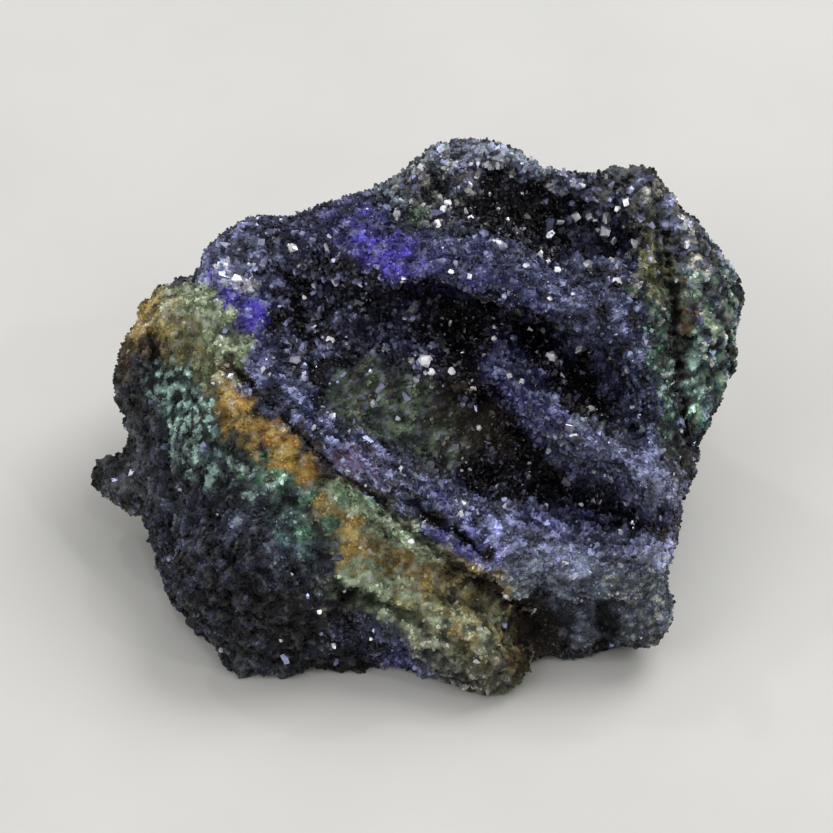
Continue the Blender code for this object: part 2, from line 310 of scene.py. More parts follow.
PATCHES = (
    # The granular flank: blue-black, greyer to the left, black in its lower right.
    Patch(Tint.NAVY, along((345, 415), (372, 440), (395, 425)), 8, 0.85, 4),
    Patch(Tint.SOOT, along((345, 410), (366, 425), (385, 430)), 7.5, 0.8, 3, spots=1.5, cover=0.55),
    Patch(Tint.SMOKE, along((340, 405), (356, 425), (380, 425)), 7.5, 0.5, 3, spots=0.6, cover=0.16),
    Patch(Tint.SMOKE, along((320, 357), (317, 372), (316, 392)), 3, 0.85, 2),
    Patch(Tint.OLIVE, along((318, 362), (316, 382)), 2.6, 0.6, 1.5, spots=1, cover=0.5),
    Patch(Tint.SOOT, along((322, 362), (320, 392)), 3, 0.6, 1.5, spots=0.9, cover=0.3),
    Patch(Tint.SMOKE, along((335, 432), (348, 448)), 1.6, 0.5, 2, spots=1.2, cover=0.4),
    Patch(Tint.LILAC, along((335, 402), (348, 428), (366, 420)), 5.5, 0.5, 3, spots=0.7, cover=0.2),
    Patch(Tint.SOOT, along((372, 430), (398, 438), (402, 450)), 3.6, 0.75, 2.5),
    Patch(Tint.SOOT, along((345, 446), (362, 452), (388, 446)), 4, 0.6, 2, spots=1.4, cover=0.5),
    Patch(Tint.SMOKE, along((352, 456), (372, 458)), 2.4, 0.4, 1.5, spots=1, cover=0.4),
    # The peak, dark and strewn with pale specks, partly painted glints.
    Patch(
        Tint.NAVY,
        along((414, 300), (432, 288), (450, 291), (461, 300)),
        4.4, 1, 1.5, mineral=Mineral.DRUSE,
    ),
    Patch(Tint.SLATE, along((422, 288), (436, 281), (452, 287)), 3, 0.8, 1.6),
    Patch(Tint.STEEL, along((420, 290), (437, 281), (454, 289)), 2.8, 0.95, 1.4, spots=0.6, cover=0.5),
    Patch(Tint.SOOT, along((420, 298), (440, 292), (458, 300)), 4, 0.8, 1.6, spots=1.1, cover=0.3),
    Patch(Tint.DEEP_TEAL, along((420, 294), (440, 285)), 3, 0.6, 1.6, spots=1.2, cover=0.35),
    Patch(
        Tint.LAVENDER, along((438, 303), (450, 299), (462, 312)), 2.6, 0.7, 1.2, spots=0.6, cover=0.25
    ),
    Patch(Tint.STEEL, along((414, 292), (434, 281), (450, 286)), 2.8, 0.9, 1.4, spots=0.5, cover=0.4),
    Patch(Tint.INK, along((424, 301), (440, 299), (456, 306)), 2.6, 0.8, 1.2),
    Patch(Tint.LAVENDER, along((438, 284), (450, 290), (457, 296)), 3, 0.8, 1.4, spots=0.6, cover=0.42),
    Patch(Tint.CREAM, along((424, 292), (440, 286), (452, 294)), 3.2, 0.6, 1.2, spots=0.45, cover=0.12),
    # Painted glints: tiny white spots.
    Patch(Tint.FROST, along((426, 298), (440, 296), (452, 302)), 3, 0.9, 0.8, spots=0.35, cover=0.07),
    Patch(Tint.SAGE, along((417, 306)), 0.9, 0.7, 0.8),
    # The lining of the hollow, its left wall and its mouth, with pale specks that are partly painted
    # glints.
    Patch(
        Tint.INK,
        along((370, 334), (403, 340), (441, 348), (474, 364)),
        7.2, 1, 1.2, mineral=Mineral.DRUSE,
    ),
    Patch(Tint.INK, along((362, 343), (379, 358), (398, 372)), 2.9, 1, 1.2, mineral=Mineral.DRUSE),
    Patch(Tint.INK, along((441, 370), (464, 384), (493, 399)), 4.6, 1, 1.2, mineral=Mineral.DRUSE),
    Patch(Tint.INK, along((398, 367), (436, 381)), 4.4, 1, 1.2, mineral=Mineral.DRUSE),
    Patch(Tint.INK, along((447, 306), (462, 313), (481, 317)), 3, 1, 1.2, mineral=Mineral.DRUSE),
    Patch(Tint.LILAC, along((368, 335), (385, 350), (402, 352)), 4, 0.5, 1.6, spots=0.6, cover=0.22),
    Patch(Tint.DUSK, along((370, 345), (390, 340), (404, 356)), 4.2, 0.45, 1.6, spots=1.3, cover=0.45),
    Patch(
        Tint.LAVENDER, along((368, 333), (385, 344), (402, 352)), 4.6, 0.95, 1.2, spots=0.32, cover=0.11
    ),
    Patch(Tint.LILAC, along((440, 392), (458, 400), (475, 402)), 2.2, 0.35, 1.2, spots=0.8, cover=0.2),
    Patch(Tint.SOOT, along((458, 314), (468, 319), (480, 321)), 2.2, 0.85, 1.4),
    # The shoulder above the ridge's left end.
    Patch(Tint.DUSK, along((354, 311), (370, 307), (392, 302)), 2.6, 0.95, mineral=Mineral.VELVET),
    Patch(Tint.NAVY, along((352, 310), (374, 304), (390, 300)), 1.8, 0.5),
    Patch(Tint.LAVENDER, along((355, 314), (366, 312), (376, 308)), 2, 0.5, 0.8, spots=0.6, cover=0.3),
    Patch(Tint.INDIGO, along((356, 312), (372, 307), (390, 303)), 2.4, 0.5, 0.8, spots=1.3, cover=0.5),
    Patch(Tint.NAVY, along((352, 310), (372, 304), (392, 302)), 2.6, 0.8, 0.8, spots=0.9, cover=0.45),
    # The arched ridge, vivid at its middle.
    Patch(Tint.DUSK, ARCH, 1.9, 0.95, 0.9, mineral=Mineral.VELVET),
    Patch(Tint.INDIGO, along((368, 315), (384, 312), (400, 314), (415, 320), (432, 324)), 1.6, 0.8),
    Patch(Tint.VIOLET, along((390, 308.5), (399, 312.5), (406, 317), (412, 320.5)), 1.5, 0.75, 1.2),
    Patch(Tint.INDIGO, along((432, 326), (445, 329), (456, 334)), 1.1, 0.6),
    Patch(
        Tint.NAVY,
        along((352, 324), (372, 314), (400, 314), (430, 322), (470, 338)),
        2.2, 0.6, 0.8, spots=0.8, cover=0.28,
    ),
    Patch(Tint.NAVY, along((360, 314), (374, 309), (386, 307)), 2.6, 0.7, 1.2),
    Patch(
        Tint.LAVENDER,
        along((425, 318), (445, 322), (462, 330), (476, 343)),
        1.7, 0.4, 0.8, spots=0.6, cover=0.26,
    ),
    Patch(
        Tint.LAVENDER, along((384, 308), (400, 312), (415, 320)), 1.5, 0.4, 0.8, spots=0.8, cover=0.25
    ),
    Patch(
        Tint.LAVENDER, along((350, 328), (359, 324), (366, 317)), 1.8, 0.9, 0.8, spots=0.7, cover=0.55
    ),
    Patch(Tint.INDIGO, along((354, 329), (360, 338), (362, 352)), 1.7, 0.85, mineral=Mineral.VELVET),
    Patch(Tint.VIOLET, along((354, 330), (362, 340)), 1.4, 0.85),
    Patch(Tint.VIOLET, along((358, 350), (366, 356)), 0.9, 0.6, 0.8),
    Patch(
        Tint.LAVENDER, along((352, 327), (360, 330), (362, 340)), 1.7, 0.7, 0.8, spots=0.6, cover=0.3
    ),
    Patch(Tint.NAVY, along((354, 312), (362, 309), (370, 308)), 2.4, 0.6, 1.2, spots=1.2, cover=0.5),
    # Painted highlight: a white spot on the violet patch.
    Patch(Tint.FROST, along((356, 326), (360, 327)), 0.5, 0.9, 0.4),
    # The right wall of the hollow, violet-grey.
    Patch(
        Tint.DUSK,
        along((479, 316), (485, 338), (489, 358), (495, 380), (499, 398)),
        2.4, 0.95, 1.2, mineral=Mineral.VELVET,
    ),
    Patch(Tint.NAVY, along((482, 312), (488, 340), (492, 366)), 2.4, 0.5, 1.2, spots=1, cover=0.5),
    Patch(
        Tint.LAVENDER,
        along((476, 318), (485, 342), (490, 365), (497, 392)),
        2.4, 0.5, 0.8, spots=0.7, cover=0.28,
    ),
    Patch(Tint.SOOT, along((484, 312), (490, 350), (498, 398)), 2.6, 0.8, 0.8, spots=1.2, cover=0.3),
    # The inner spur.
    Patch(
        Tint.INDIGO,
        along((447, 353), (451, 362), (458, 372), (468, 381), (480, 386), (493, 389)),
        1.8, 0.95, 0.8, mineral=Mineral.VELVET,
    ),
    Patch(
        Tint.LAVENDER,
        along((447, 354), (458, 372), (470, 382), (490, 388)),
        1.7, 0.8, 0.8, spots=0.6, cover=0.4,
    ),
    Patch(Tint.STEEL, along((472, 382), (486, 386), (498, 392)), 2.4, 0.6, spots=0.7, cover=0.4),
    Patch(Tint.NAVY, along((450, 362), (464, 378), (480, 388)), 1.6, 0.7, 0.8, spots=1, cover=0.25),
    Patch(Tint.LILAC, along((478, 386), (496, 394)), 2.2, 0.6, 1.2),
    # The lower lip, dusky at the left and pale lilac at the right.
    Patch(
        Tint.DUSK,
        along((356, 351), (366, 362), (382, 374), (395, 383), (408, 393), (424, 403)),
        2.1, 0.95, 0.9, mineral=Mineral.VELVET,
    ),
    Patch(
        Tint.INDIGO,
        along((424, 402), (438, 410), (455, 415), (475, 416)),
        2.5, 0.95, 0.9, mineral=Mineral.VELVET,
    ),
    Patch(Tint.LAVENDER, along((360, 356), (382, 373), (405, 391)), 2, 0.8, 0.8, spots=0.6, cover=0.36),
    Patch(Tint.NAVY, along((358, 354), (382, 375), (410, 396)), 2.2, 0.8, 0.8, spots=1.1, cover=0.28),
    Patch(Tint.MAUVE, along((396, 386), (403, 391)), 1.3, 0.8, 0.8),
    Patch(Tint.SLATE, along((408, 386), (425, 392), (440, 400)), 1.4, 0.7, 0.8, spots=1, cover=0.45),
    Patch(Tint.LILAC, along((455, 419), (478, 419), (496, 421)), 2.1, 0.9, mineral=Mineral.VELVET),
    Patch(
        Tint.LAVENDER, along((448, 414), (478, 417), (498, 424)), 2.3, 0.9, 0.8, spots=0.8, cover=0.6
    ),
    Patch(Tint.STEEL, along((440, 420), (456, 425), (480, 424)), 1.6, 0.5, 0.8, spots=1, cover=0.4),
    Patch(
        Tint.LAVENDER, along((408, 391), (425, 403), (442, 411)), 2.2, 0.8, 0.8, spots=0.7, cover=0.42
    ),
    Patch(Tint.VIOLET, along((434, 412), (439, 417)), 1, 0.4, 0.7),
    Patch(Tint.NAVY, along((408, 394), (424, 400), (448, 410)), 2.2, 0.8, 0.8, spots=1, cover=0.3),
    # Earth on the hollow's floor, where the lining is broken away.
    Patch(Tint.OLIVE, along((400, 364), (414, 369), (430, 377)), 2.3, 0.9, 1.4, mineral=Mineral.EARTH),
    Patch(Tint.SMOKE, along((400, 364), (416, 370), (428, 378)), 2.4, 0.8, 1.2),
    Patch(Tint.KHAKI, along((402, 366), (416, 371), (428, 380)), 2.2, 0.5, 1.2, spots=0.8, cover=0.4),
    Patch(Tint.SAGE, along((400, 364), (416, 370), (424, 378)), 2.2, 0.7, 1.2, spots=0.7, cover=0.45),
    Patch(Tint.STEEL, along((402, 364), (418, 372), (428, 380)), 2.4, 0.6, 1.2, spots=0.5, cover=0.26),
    Patch(Tint.SOOT, along((400, 366), (430, 378)), 2.4, 0.6, 1.2, spots=1, cover=0.28),
    Patch(Tint.UMBER, along((430, 370), (440, 378)), 2, 0.75, 1.6),
    # The banded wall's upper end: ochre at the left, pale green at the right.
    Patch(Tint.KHAKI, along((326, 338), (339, 341), (348, 353)), 2.9, 1, 0.9, mineral=Mineral.EARTH),
    Patch(Tint.MUSTARD, along((329, 340), (336, 345)), 2.3, 0.95, mineral=Mineral.LIMONITE),
    Patch(Tint.OCHRE, along((327, 343), (335, 347)), 1.5, 0.5),
    Patch(Tint.SAGE, along((343, 340), (350, 354)), 2.4, 0.75),
    Patch(Tint.LICHEN, along((339, 335), (347, 338), (352, 346)), 2, 0.9, 0.8, spots=0.8, cover=0.45),
    Patch(Tint.OLIVE, along((338, 344), (346, 350)), 2.6, 0.7, spots=0.9, cover=0.3),
    Patch(Tint.MOSS, along((335, 350), (346, 358)), 2, 0.6, 1.2),
    Patch(Tint.RUST, along((320, 347), (326, 350)), 1.6, 0.4, spots=1, cover=0.4),
    Patch(Tint.MUSTARD, along((329, 340), (336, 345)), 1.9, 0.6, 0.8, spots=0.8, cover=0.5),
    Patch(Tint.CREAM, along((328, 338), (337, 344)), 2, 0.45, 0.8, spots=0.6, cover=0.24),
    Patch(Tint.UMBER, along((328, 347), (329, 353)), 0.6, 0.85, 0.6),
    Patch(Tint.UMBER, along((319, 352), (317, 359)), 0.9, 0.7, 0.8),
    # The orange band, with its duller lower edge.
    Patch(
        Tint.MOSS,
        along((347, 373), (357, 384), (368, 392), (380, 404)),
        1.8, 0.9, 0.8, mineral=Mineral.EARTH,
    ),
    Patch(Tint.MUSTARD, along((354, 371), (362, 377), (369, 383)), 2, 1, 0.7, mineral=Mineral.LIMONITE),
    Patch(
        Tint.MUSTARD, along((369, 383), (378, 391), (386, 398)), 1.5, 1, 0.7, mineral=Mineral.LIMONITE
    ),
    Patch(Tint.OCHRE, along((355, 370), (363, 377), (374, 387), (386, 397)), 1.7, 0.8),
    Patch(Tint.RUST, along((358, 366), (373, 380), (386, 392)), 1.1, 0.5, 0.9, spots=0.9, cover=0.5),
    Patch(
        Tint.MUSTARD, along((350, 372), (360, 380), (378, 394)), 1.9, 0.6, 0.8, spots=0.8, cover=0.35
    ),
    Patch(Tint.CREAM, along((354, 367), (368, 380), (382, 393)), 1.9, 0.45, 0.8, spots=0.6, cover=0.16),
    Patch(Tint.UMBER, along((354, 365), (366, 376), (384, 392)), 1.9, 0.6, 0.8, spots=0.6, cover=0.14),
    Patch(Tint.SAGE, along((347, 381), (358, 388), (370, 395)), 1.1, 0.6, 0.8, spots=0.8, cover=0.5),
    # The olive foot of the banded wall.
    Patch(
        Tint.MOSS,
        along((406, 430), (416, 435), (430, 440), (446, 452)),
        3.1, 1, 0.9, mineral=Mineral.EARTH,
    ),
    Patch(Tint.KHAKI, along((410, 426), (428, 434), (440, 442)), 3.2, 0.7, 1.2),
    Patch(Tint.MUSTARD, along((416, 424), (430, 432)), 2.4, 0.5, 1.2, spots=1.2, cover=0.5),
    Patch(Tint.SAGE, along((403, 430), (414, 437), (426, 446)), 2.6, 0.7, spots=1.5, cover=0.5),
    Patch(
        Tint.LICHEN, along((412, 432), (424, 440), (434, 444)), 2.2, 0.95, 0.8, spots=0.6, cover=0.45
    ),
    Patch(Tint.LICHEN, along((422, 438), (430, 446), (438, 440)), 2.4, 0.6, 0.8, spots=0.6, cover=0.36),
    Patch(Tint.MUSTARD, along((420, 428), (434, 436), (444, 448)), 3, 0.45, 0.8, spots=0.8, cover=0.4),
    Patch(Tint.RUST, along((424, 446), (440, 452), (448, 458)), 2.6, 0.25, 0.8, spots=0.8, cover=0.3),
    Patch(Tint.OLIVE, along((400, 434), (424, 440), (444, 452)), 3.4, 0.85, 0.8, spots=1, cover=0.36),
    Patch(Tint.SMOKE, along((414, 458), (430, 462), (442, 460)), 2, 0.5, 1.2),
    Patch(Tint.CREAM, along((420, 452), (440, 460)), 2, 0.5, spots=0.6, cover=0.2),
    Patch(Tint.RUST, along((450, 446), (457, 453)), 1.6, 0.4, 0.8, spots=1, cover=0.35),
    Patch(Tint.DUSK, along((398, 443), (406, 449), (412, 456)), 1.7, 0.9, 0.9, mineral=Mineral.VELVET),
    Patch(Tint.INDIGO, along((399, 444), (411, 455)), 1.6, 0.7, 0.8, spots=1.2, cover=0.5),
    Patch(Tint.LAVENDER, along((402, 444), (413, 455)), 1.6, 0.5, 0.8, spots=0.8, cover=0.25),
    Patch(Tint.SOOT, along((396, 437), (399, 450)), 1.3, 0.8),
    # The ochre and pale green streaks along the crack.
    Patch(
        Tint.MUSTARD,
        along((389, 402), (397, 411), (406, 418), (419, 426)),
        1.7, 1, 0.7, mineral=Mineral.LIMONITE,
    ),
    Patch(
        Tint.MUSTARD, along((389, 406), (393, 412), (399, 418)), 1.5, 0.9, 0.8, mineral=Mineral.LIMONITE
    ),
    Patch(Tint.OCHRE, along((389, 402), (397, 411), (407, 419), (416, 424)), 1.5, 0.6, 0.9),
    Patch(Tint.RUST, along((402, 415), (415, 425)), 1.4, 0.4, 0.8, spots=0.7, cover=0.25),
    Patch(Tint.MUSTARD, along((392, 405), (402, 415), (420, 426)), 1.8, 0.7, 0.8, spots=0.8, cover=0.5),
    Patch(Tint.LICHEN, along((392, 405), (404, 416), (420, 426)), 1.8, 0.5, 0.8, spots=0.6, cover=0.2),
    Patch(Tint.CREAM, along((392, 405), (402, 415), (420, 426)), 1.7, 0.5, 0.8, spots=0.6, cover=0.26),
    Patch(
        Tint.SAGE,
        along((388, 395), (398, 402), (408, 408.5), (421, 417)),
        0.9, 1, 0.6, mineral=Mineral.MALACHITE,
    ),
    Patch(Tint.LEAF, along((392, 398), (402, 404), (414, 411)), 1.1, 0.8, 0.6, spots=0.9, cover=0.55),
    Patch(Tint.LICHEN, along((388, 396), (402, 404), (422, 418)), 1.1, 1, 0.6, spots=0.6, cover=0.62),
    Patch(Tint.LICHEN, along((399, 427), (406, 425), (412, 431)), 1.5, 1, 0.7, spots=0.6, cover=0.5),
    Patch(Tint.SAGE, along((399, 428), (405, 427), (410, 434)), 1.6, 0.4, 0.7),
    # Malachite strewn over the dark flank.
    Patch(
        Tint.DEEP_TEAL,
        along((335, 361), (341, 371), (346, 386)),
        1.7, 0.9, 1.2, mineral=Mineral.MALACHITE,
    ),
    Patch(
        Tint.DEEP_TEAL,
        along((346, 386), (360, 392), (374, 402), (383, 412)),
        1.6, 0.85, mineral=Mineral.MALACHITE,
    ),
    Patch(Tint.NAVY, along((326, 362), (338, 376), (356, 390)), 2.4, 0.85, spots=1.2, cover=0.45),
    Patch(Tint.TEAL, along((335, 361), (343, 374), (349, 386)), 1.6, 0.7, 0.8, spots=0.9, cover=0.3),
    Patch(Tint.SOOT, along((328, 362), (340, 378), (350, 390)), 2.2, 0.7, 0.8, spots=0.9, cover=0.3),
    Patch(Tint.FOAM, along((335, 361), (341, 372), (345, 385)), 1.45, 0.95, 0.8, spots=0.5, cover=0.42),
    Patch(Tint.FOAM, along((351, 388), (364, 393), (375, 402)), 1.3, 0.9, 0.8, spots=0.6, cover=0.34),
    Patch(Tint.LEAF, along((364, 390), (376, 400), (385, 409)), 0.9, 0.7, 0.8, spots=0.8, cover=0.5),
    Patch(Tint.TEAL, along((370, 404), (381, 415)), 1.2, 0.5, 0.8, spots=0.8, cover=0.4),
    Patch(Tint.NAVY, along((344, 398), (360, 404), (374, 414)), 3.4, 0.6, 1.5, spots=1, cover=0.5),
    Patch(Tint.STEEL, along((345, 398), (362, 404), (378, 414)), 4.5, 0.3, 1.5, spots=0.6, cover=0.12),
    Patch(Tint.NAVY, along((344, 394), (358, 402), (370, 410)), 3.4, 0.5, 2, spots=1.4, cover=0.5),
    # The botryoidal foot at the right: a dark lobe and a paler one.
    Patch(Tint.SLATE, along((470, 439), (482, 438), (497, 438)), 3.4, mineral=Mineral.NODULE),
    Patch(Tint.CHARCOAL, along((464, 442), (472, 443)), 2.8, 0.95, 1.6),
    Patch(Tint.SOOT, along((470, 446), (478, 448)), 1.7, 0.9, 1.4),
    Patch(
        Tint.STEEL,
        along((466, 430), (478, 434), (490, 434), (498, 442)),
        3.4, 0.75, 1.4, spots=0.7, cover=0.45,
    ),
    Patch(Tint.LILAC, along((470, 432), (484, 436), (498, 440)), 3.4, 0.4, 1.4),
    # Painted shade in the cleft between the lobes.
    Patch(Tint.SOOT, along((479, 438), (482, 448)), 1, 0.6),
    Patch(Tint.UMBER, along((454, 438), (459, 446), (456, 454)), 1.4, 1, 0.9, mineral=Mineral.EARTH),
    Patch(Tint.SOOT, along((457, 437), (460, 446)), 1.1, 0.6, 0.8),
    Patch(Tint.DEEP_TEAL, along((486, 430), (497, 442)), 3, 0.4, 1.4),
    Patch(Tint.CREAM, along((488, 426), (498, 432), (500, 446)), 2.6, 0.5, 0.8, spots=0.45, cover=0.2),
    Patch(Tint.SOOT, along((466, 440), (482, 440), (496, 444)), 3.4, 0.6, 0.8, spots=0.55, cover=0.3),
    # The seam in the broken right wall, and the facet beyond it.
    Patch(
        Tint.OLIVE,
        along((499, 303), (502, 325), (505, 350), (507, 384)),
        1.6, 0.95, 0.9, mineral=Mineral.EARTH,
    ),
    Patch(
        Tint.DEEP_TEAL,
        along((498, 330), (501, 350), (504, 372)),
        1.3, 0.9, 0.9, mineral=Mineral.MALACHITE,
    ),
    Patch(Tint.LEAF, along((498, 332), (501, 352), (504, 372)), 1.3, 0.35, 0.8, spots=0.8, cover=0.45),
    Patch(Tint.LICHEN, along((494, 302), (497, 312), (497, 328)), 1, 0.5, 0.8, spots=0.5, cover=0.3),
    Patch(Tint.FOAM, along((500, 340), (502, 356), (504, 376)), 1.3, 0.8, 0.8, spots=0.5, cover=0.2),
    Patch(Tint.OLIVE, along((499, 316), (503, 334), (505, 352)), 1, 0.8, 0.8),
    Patch(Tint.KHAKI, along((498, 316), (506, 334), (506, 350)), 0.9, 0.6, 0.8, spots=0.6, cover=0.45),
    Patch(Tint.CREAM, along((493, 300), (495, 314), (496, 334)), 1.2, 0.7, 0.8, spots=0.5, cover=0.18),
    Patch(Tint.INK, along((500, 312), (502, 330)), 1, 0.6, 0.8, spots=0.8, cover=0.5),
    Patch(Tint.MOSS, along((495, 306), (499, 328)), 1.1, 0.8, 0.8),
    Patch(Tint.MUSTARD, along((497, 310), (500, 324)), 0.9, 0.3, 0.8, spots=0.6, cover=0.4),
    Patch(Tint.RUST, along((505, 326), (506, 345)), 0.7, 0.6, 0.7, spots=0.7, cover=0.5),
    Patch(Tint.MUSTARD, along((507, 320), (508, 332)), 0.6, 0.7, 0.7),
    Patch(
        Tint.CHARCOAL,
        along((513, 312), (519, 330), (520, 348), (514, 372)),
        2.6, 0.9, mineral=Mineral.CRUST,
    ),
    Patch(Tint.TEAL, along((514, 325), (518, 345), (512, 368)), 2.4, 0.7, 0.8, spots=1.3, cover=0.5),
    Patch(Tint.STEEL, along((508, 312), (518, 338), (514, 360)), 2.4, 0.8, 0.8, spots=0.7, cover=0.35),
    Patch(Tint.SAGE, along((508, 322), (518, 345), (514, 368)), 2.4, 0.7, 0.8, spots=0.8, cover=0.35),
    Patch(Tint.CREAM, along((510, 318), (519, 335), (516, 348)), 2.2, 0.5, 0.8, spots=0.5, cover=0.14),
    Patch(Tint.NAVY, along((512, 318), (518, 350), (509, 384)), 2.6, 0.8, 0.8, spots=1.3, cover=0.35),
    Patch(Tint.SMOKE, along((487, 297), (497, 296), (506, 305)), 2.2, 0.9, mineral=Mineral.CRUST),
    Patch(
        Tint.LAVENDER, along((484, 302), (497, 299), (509, 312)), 2.2, 0.75, 0.8, spots=0.9, cover=0.36
    ),
    Patch(Tint.SOOT, along((486, 300), (498, 298), (508, 308)), 2.2, 0.7, 0.8, spots=1.1, cover=0.3),
    # Short pale lines beside the seam, partly painted highlights.
    Patch(Tint.CREAM, along((487, 306), (491, 300), (497, 298)), 0.4, 0.8, 0.5, spots=0.5, cover=0.6),
    Patch(Tint.CREAM, along((505, 304), (509, 313), (512, 324)), 0.4, 0.8, 0.5, spots=0.5, cover=0.6),
    Patch(Tint.FOAM, along((511, 345), (509, 360), (507, 372)), 0.4, 0.8, 0.5, spots=0.5, cover=0.6),
    # Dark lines along the crack, the slit and the seam's longest groove, painted shade in them.
    Patch(Tint.UMBER, CRACK, 0.22, 0.95, 0.4),
    Patch(Tint.INK, along((417, 401), (424, 407), (431, 410), (438, 417)), 0.3, 1, 0.4),
    Patch(Tint.SOOT, along((500, 312), (503, 345), (507, 382)), 0.35, 0.95, 0.35),
)

GROOVES = (
    # The crack between the lower lip and the banded wall.
    Groove(CRACK, 0.34, 0.8),
    # The dark slit in the lower lip.
    Groove(along((417, 401), (424, 407), (431, 410), (438, 417)), 0.42, 1.2),
    # The seam's grooves.
    Groove(along((496, 310), (499, 330), (501, 350)), 0.3, 0.5),
    # The longest.
    Groove(along((500, 312), (503, 345), (507, 382)), 0.4, 0.95),
    # The break in the ochre.
    Groove(along((327, 343), (329, 350), (328, 356)), 0.45, 0.9),
    # The step above the band's foot.
    Groove(along((394, 432), (405, 434), (420, 441), (432, 450)), 0.55, 0.6),
    # The hollow below the orange band.
    Groove(along((350, 382), (362, 388), (376, 400)), 0.6, 0.6),
    # The cleft between the lobes of the foot.
    Groove(along((478, 434), (480, 442), (479, 450)), 0.7, 0.9),
)

# How much larger a pale grain is made, and by which pixels the upper pocket begins and the
# left shoulder ends.
GRAIN_GROWTH = 1.1
POCKET_GROWTH = 1.7
POCKET_LEFT = 455
POCKET_FOOT = 320
SHOULDER_GROWTH = 0.9
SHOULDER_RIGHT = 370


def pale_grain(x: float, y: float, size: float) -> tuple[float, float, float]:
    """A pale grain's place across and up the open face, and its size."""
    growth = GRAIN_GROWTH
    if x > POCKET_LEFT and y < POCKET_FOOT:
        growth = POCKET_GROWTH
    elif x < SHOULDER_RIGHT:
        growth = SHOULDER_GROWTH
    return *place_of(x, y), round(size * growth, 2)


# Single pale grains that catch the eye, as their pixels and sizes; partly real grains and partly painted
# glints.
GRAIN_PIXELS = (
    (419, 354, 0.78), (417, 352, 0.4), (421.5, 357.5, 0.42), (429, 357, 0.45),
    (462.5, 352.5, 0.85), (471.5, 349.5, 1), (443, 346, 0.42), (443, 342, 0.35),
    (429, 341, 0.45), (389, 372, 0.6), (438, 376, 0.4), (461, 384, 0.6), (479, 400, 0.42),
    (472, 401, 0.42), (487, 402, 0.42), (465, 307, 0.44), (470.5, 306.5, 0.48),
    (475, 306, 0.42), (477, 307.5, 0.42), (480, 306.5, 0.5), (483, 304, 0.42),
    (485.5, 302, 0.4), (480, 312, 0.5), (482.5, 313.5, 0.42), (489, 315, 0.4),
    (481, 320, 0.4), (506, 315, 0.36), (428, 324, 0.4), (435, 326, 0.5), (412, 327, 0.4),
    (458, 319, 0.4), (461, 321, 0.42), (463.5, 324, 0.42), (434, 306, 0.36),
    (441, 299, 0.36), (444, 303, 0.34), (448, 307, 0.36), (430, 297, 0.34),
    (438, 293, 0.34), (358, 326, 0.8), (362, 323, 0.42), (353, 346, 0.4), (485, 410, 0.5),
    (489, 409, 0.4), (476, 391, 0.42), (390, 448, 0.36), (402, 446, 0.3), (386, 437, 0.26),
    (415, 414, 0.42), (452, 298, 0.4), (427, 301, 0.45), (435, 303, 0.35), (448, 293, 0.35),
    (383, 342, 0.42), (389, 347, 0.45), (384, 329, 0.36), (380, 333, 0.36),
    (402, 358, 0.36), (372, 335, 0.35), (453, 395, 0.35), (452, 360, 0.4),
)
PALE_GRAINS_AND_GLINTS = tuple(pale_grain(x, y, size) for x, y, size in GRAIN_PIXELS)

# Where the stone swells, as routes with their reach and height.
SWELLS = ((((-13.8, 19.6), (-11.6, 20.4)), 3.0, 0.95),)

# Where pale crystals are strewn, partly as painted glints, as routes with their reach and density.
STARS = (
    (((-10, 16.6), (-6, 15.2), (-3.4, 13.4)), 4.6, 1),
    (((-11.6, 13.6), (-8, 10.6), (-5, 8.6)), 2.2, 0.5),
    (((-1, 12.6), (5, 12), (9, 12)), 4, 0.22),
    (((-0.6, 24), (3.6, 25.6), (8, 24.4)), 3, 0.6),
    (((3.4, 22.4), (8.4, 22), (12.6, 20.6)), 2.2, 0.5),
    (((5, 5), (9, 2.4), (14, 1.6)), 2.6, 0.35),
    (((1, 20), (6, 19), (10.6, 16.6)), 1.8, 0.2),
    (((14.6, 21), (15.8, 14), (16.8, 5)), 2.4, 0.3),
    (((6.8, 11.6), (9, 8), (12.6, 5.6), (16, 4.6)), 1.8, 0.4),
    (((-12, 12.4), (-7.4, 8), (-2, 3.6)), 2, 0.2),
    (((2, 2), (8, -0.6), (15, -1.6)), 2.4, 0.2),
    (((-13, 20.8), (-9, 21.8)), 1.4, 0.5),
    (((15, 23.6), (18, 21), (19.6, 17)), 1.8, 0.2),
    (((19.4, 16), (20, 10)), 1.6, 0.12),
    (((-16, 2), (-10, -4), (-4, -7)), 6, 0.06),
    (((8, -6), (16, -6)), 3.4, 0.05),
)


# ---------------------------------------------------------------- meshes in code


def points_of(mesh: bpy.types.Mesh) -> Array:
    """The mesh's points in millimetres."""
    found = np.empty(len(mesh.vertices) * 3, np.float32)
    mesh.vertices.foreach_get("co", found)
    return found.reshape(-1, 3).astype(float) / MM


def set_points(mesh: bpy.types.Mesh, points: Array) -> None:
    """Moves the mesh's points to these places in millimetres."""
    mesh.vertices.foreach_set("co", (points * MM).astype(np.float32).ravel())
    mesh.update()


def normals_of(mesh: bpy.types.Mesh) -> Array:
    """The way that each point of the mesh faces."""
    found = np.empty(len(mesh.vertices) * 3, np.float32)
    mesh.vertex_normals.foreach_get("vector", found)
    return found.reshape(-1, 3).astype(float)


def set_layer(mesh: bpy.types.Mesh, name: str, values: Array) -> None:
    """Stores one value for each point of the mesh as a named attribute."""
    layer = mesh.attributes.new(name, "FLOAT", "POINT")
    layer.data.foreach_set("value", values.astype(np.float32))


def set_tints(mesh: bpy.types.Mesh, tints: Array) -> None:
    """Stores one colour for each point of the mesh as the attribute tint."""
    layer = mesh.attributes.new("tint", "FLOAT_COLOR", "POINT")
    full = np.column_stack((tints, np.ones(len(tints))))
    layer.data.foreach_set("color", full.astype(np.float32).ravel())


def in_scene(name: str, data: bpy.types.ID) -> bpy.types.Object:
    """A new object in the scene that shows this mesh, light or camera."""
    obj = bpy.data.objects.new(name, data)
    bpy.context.scene.collection.objects.link(obj)
    return obj


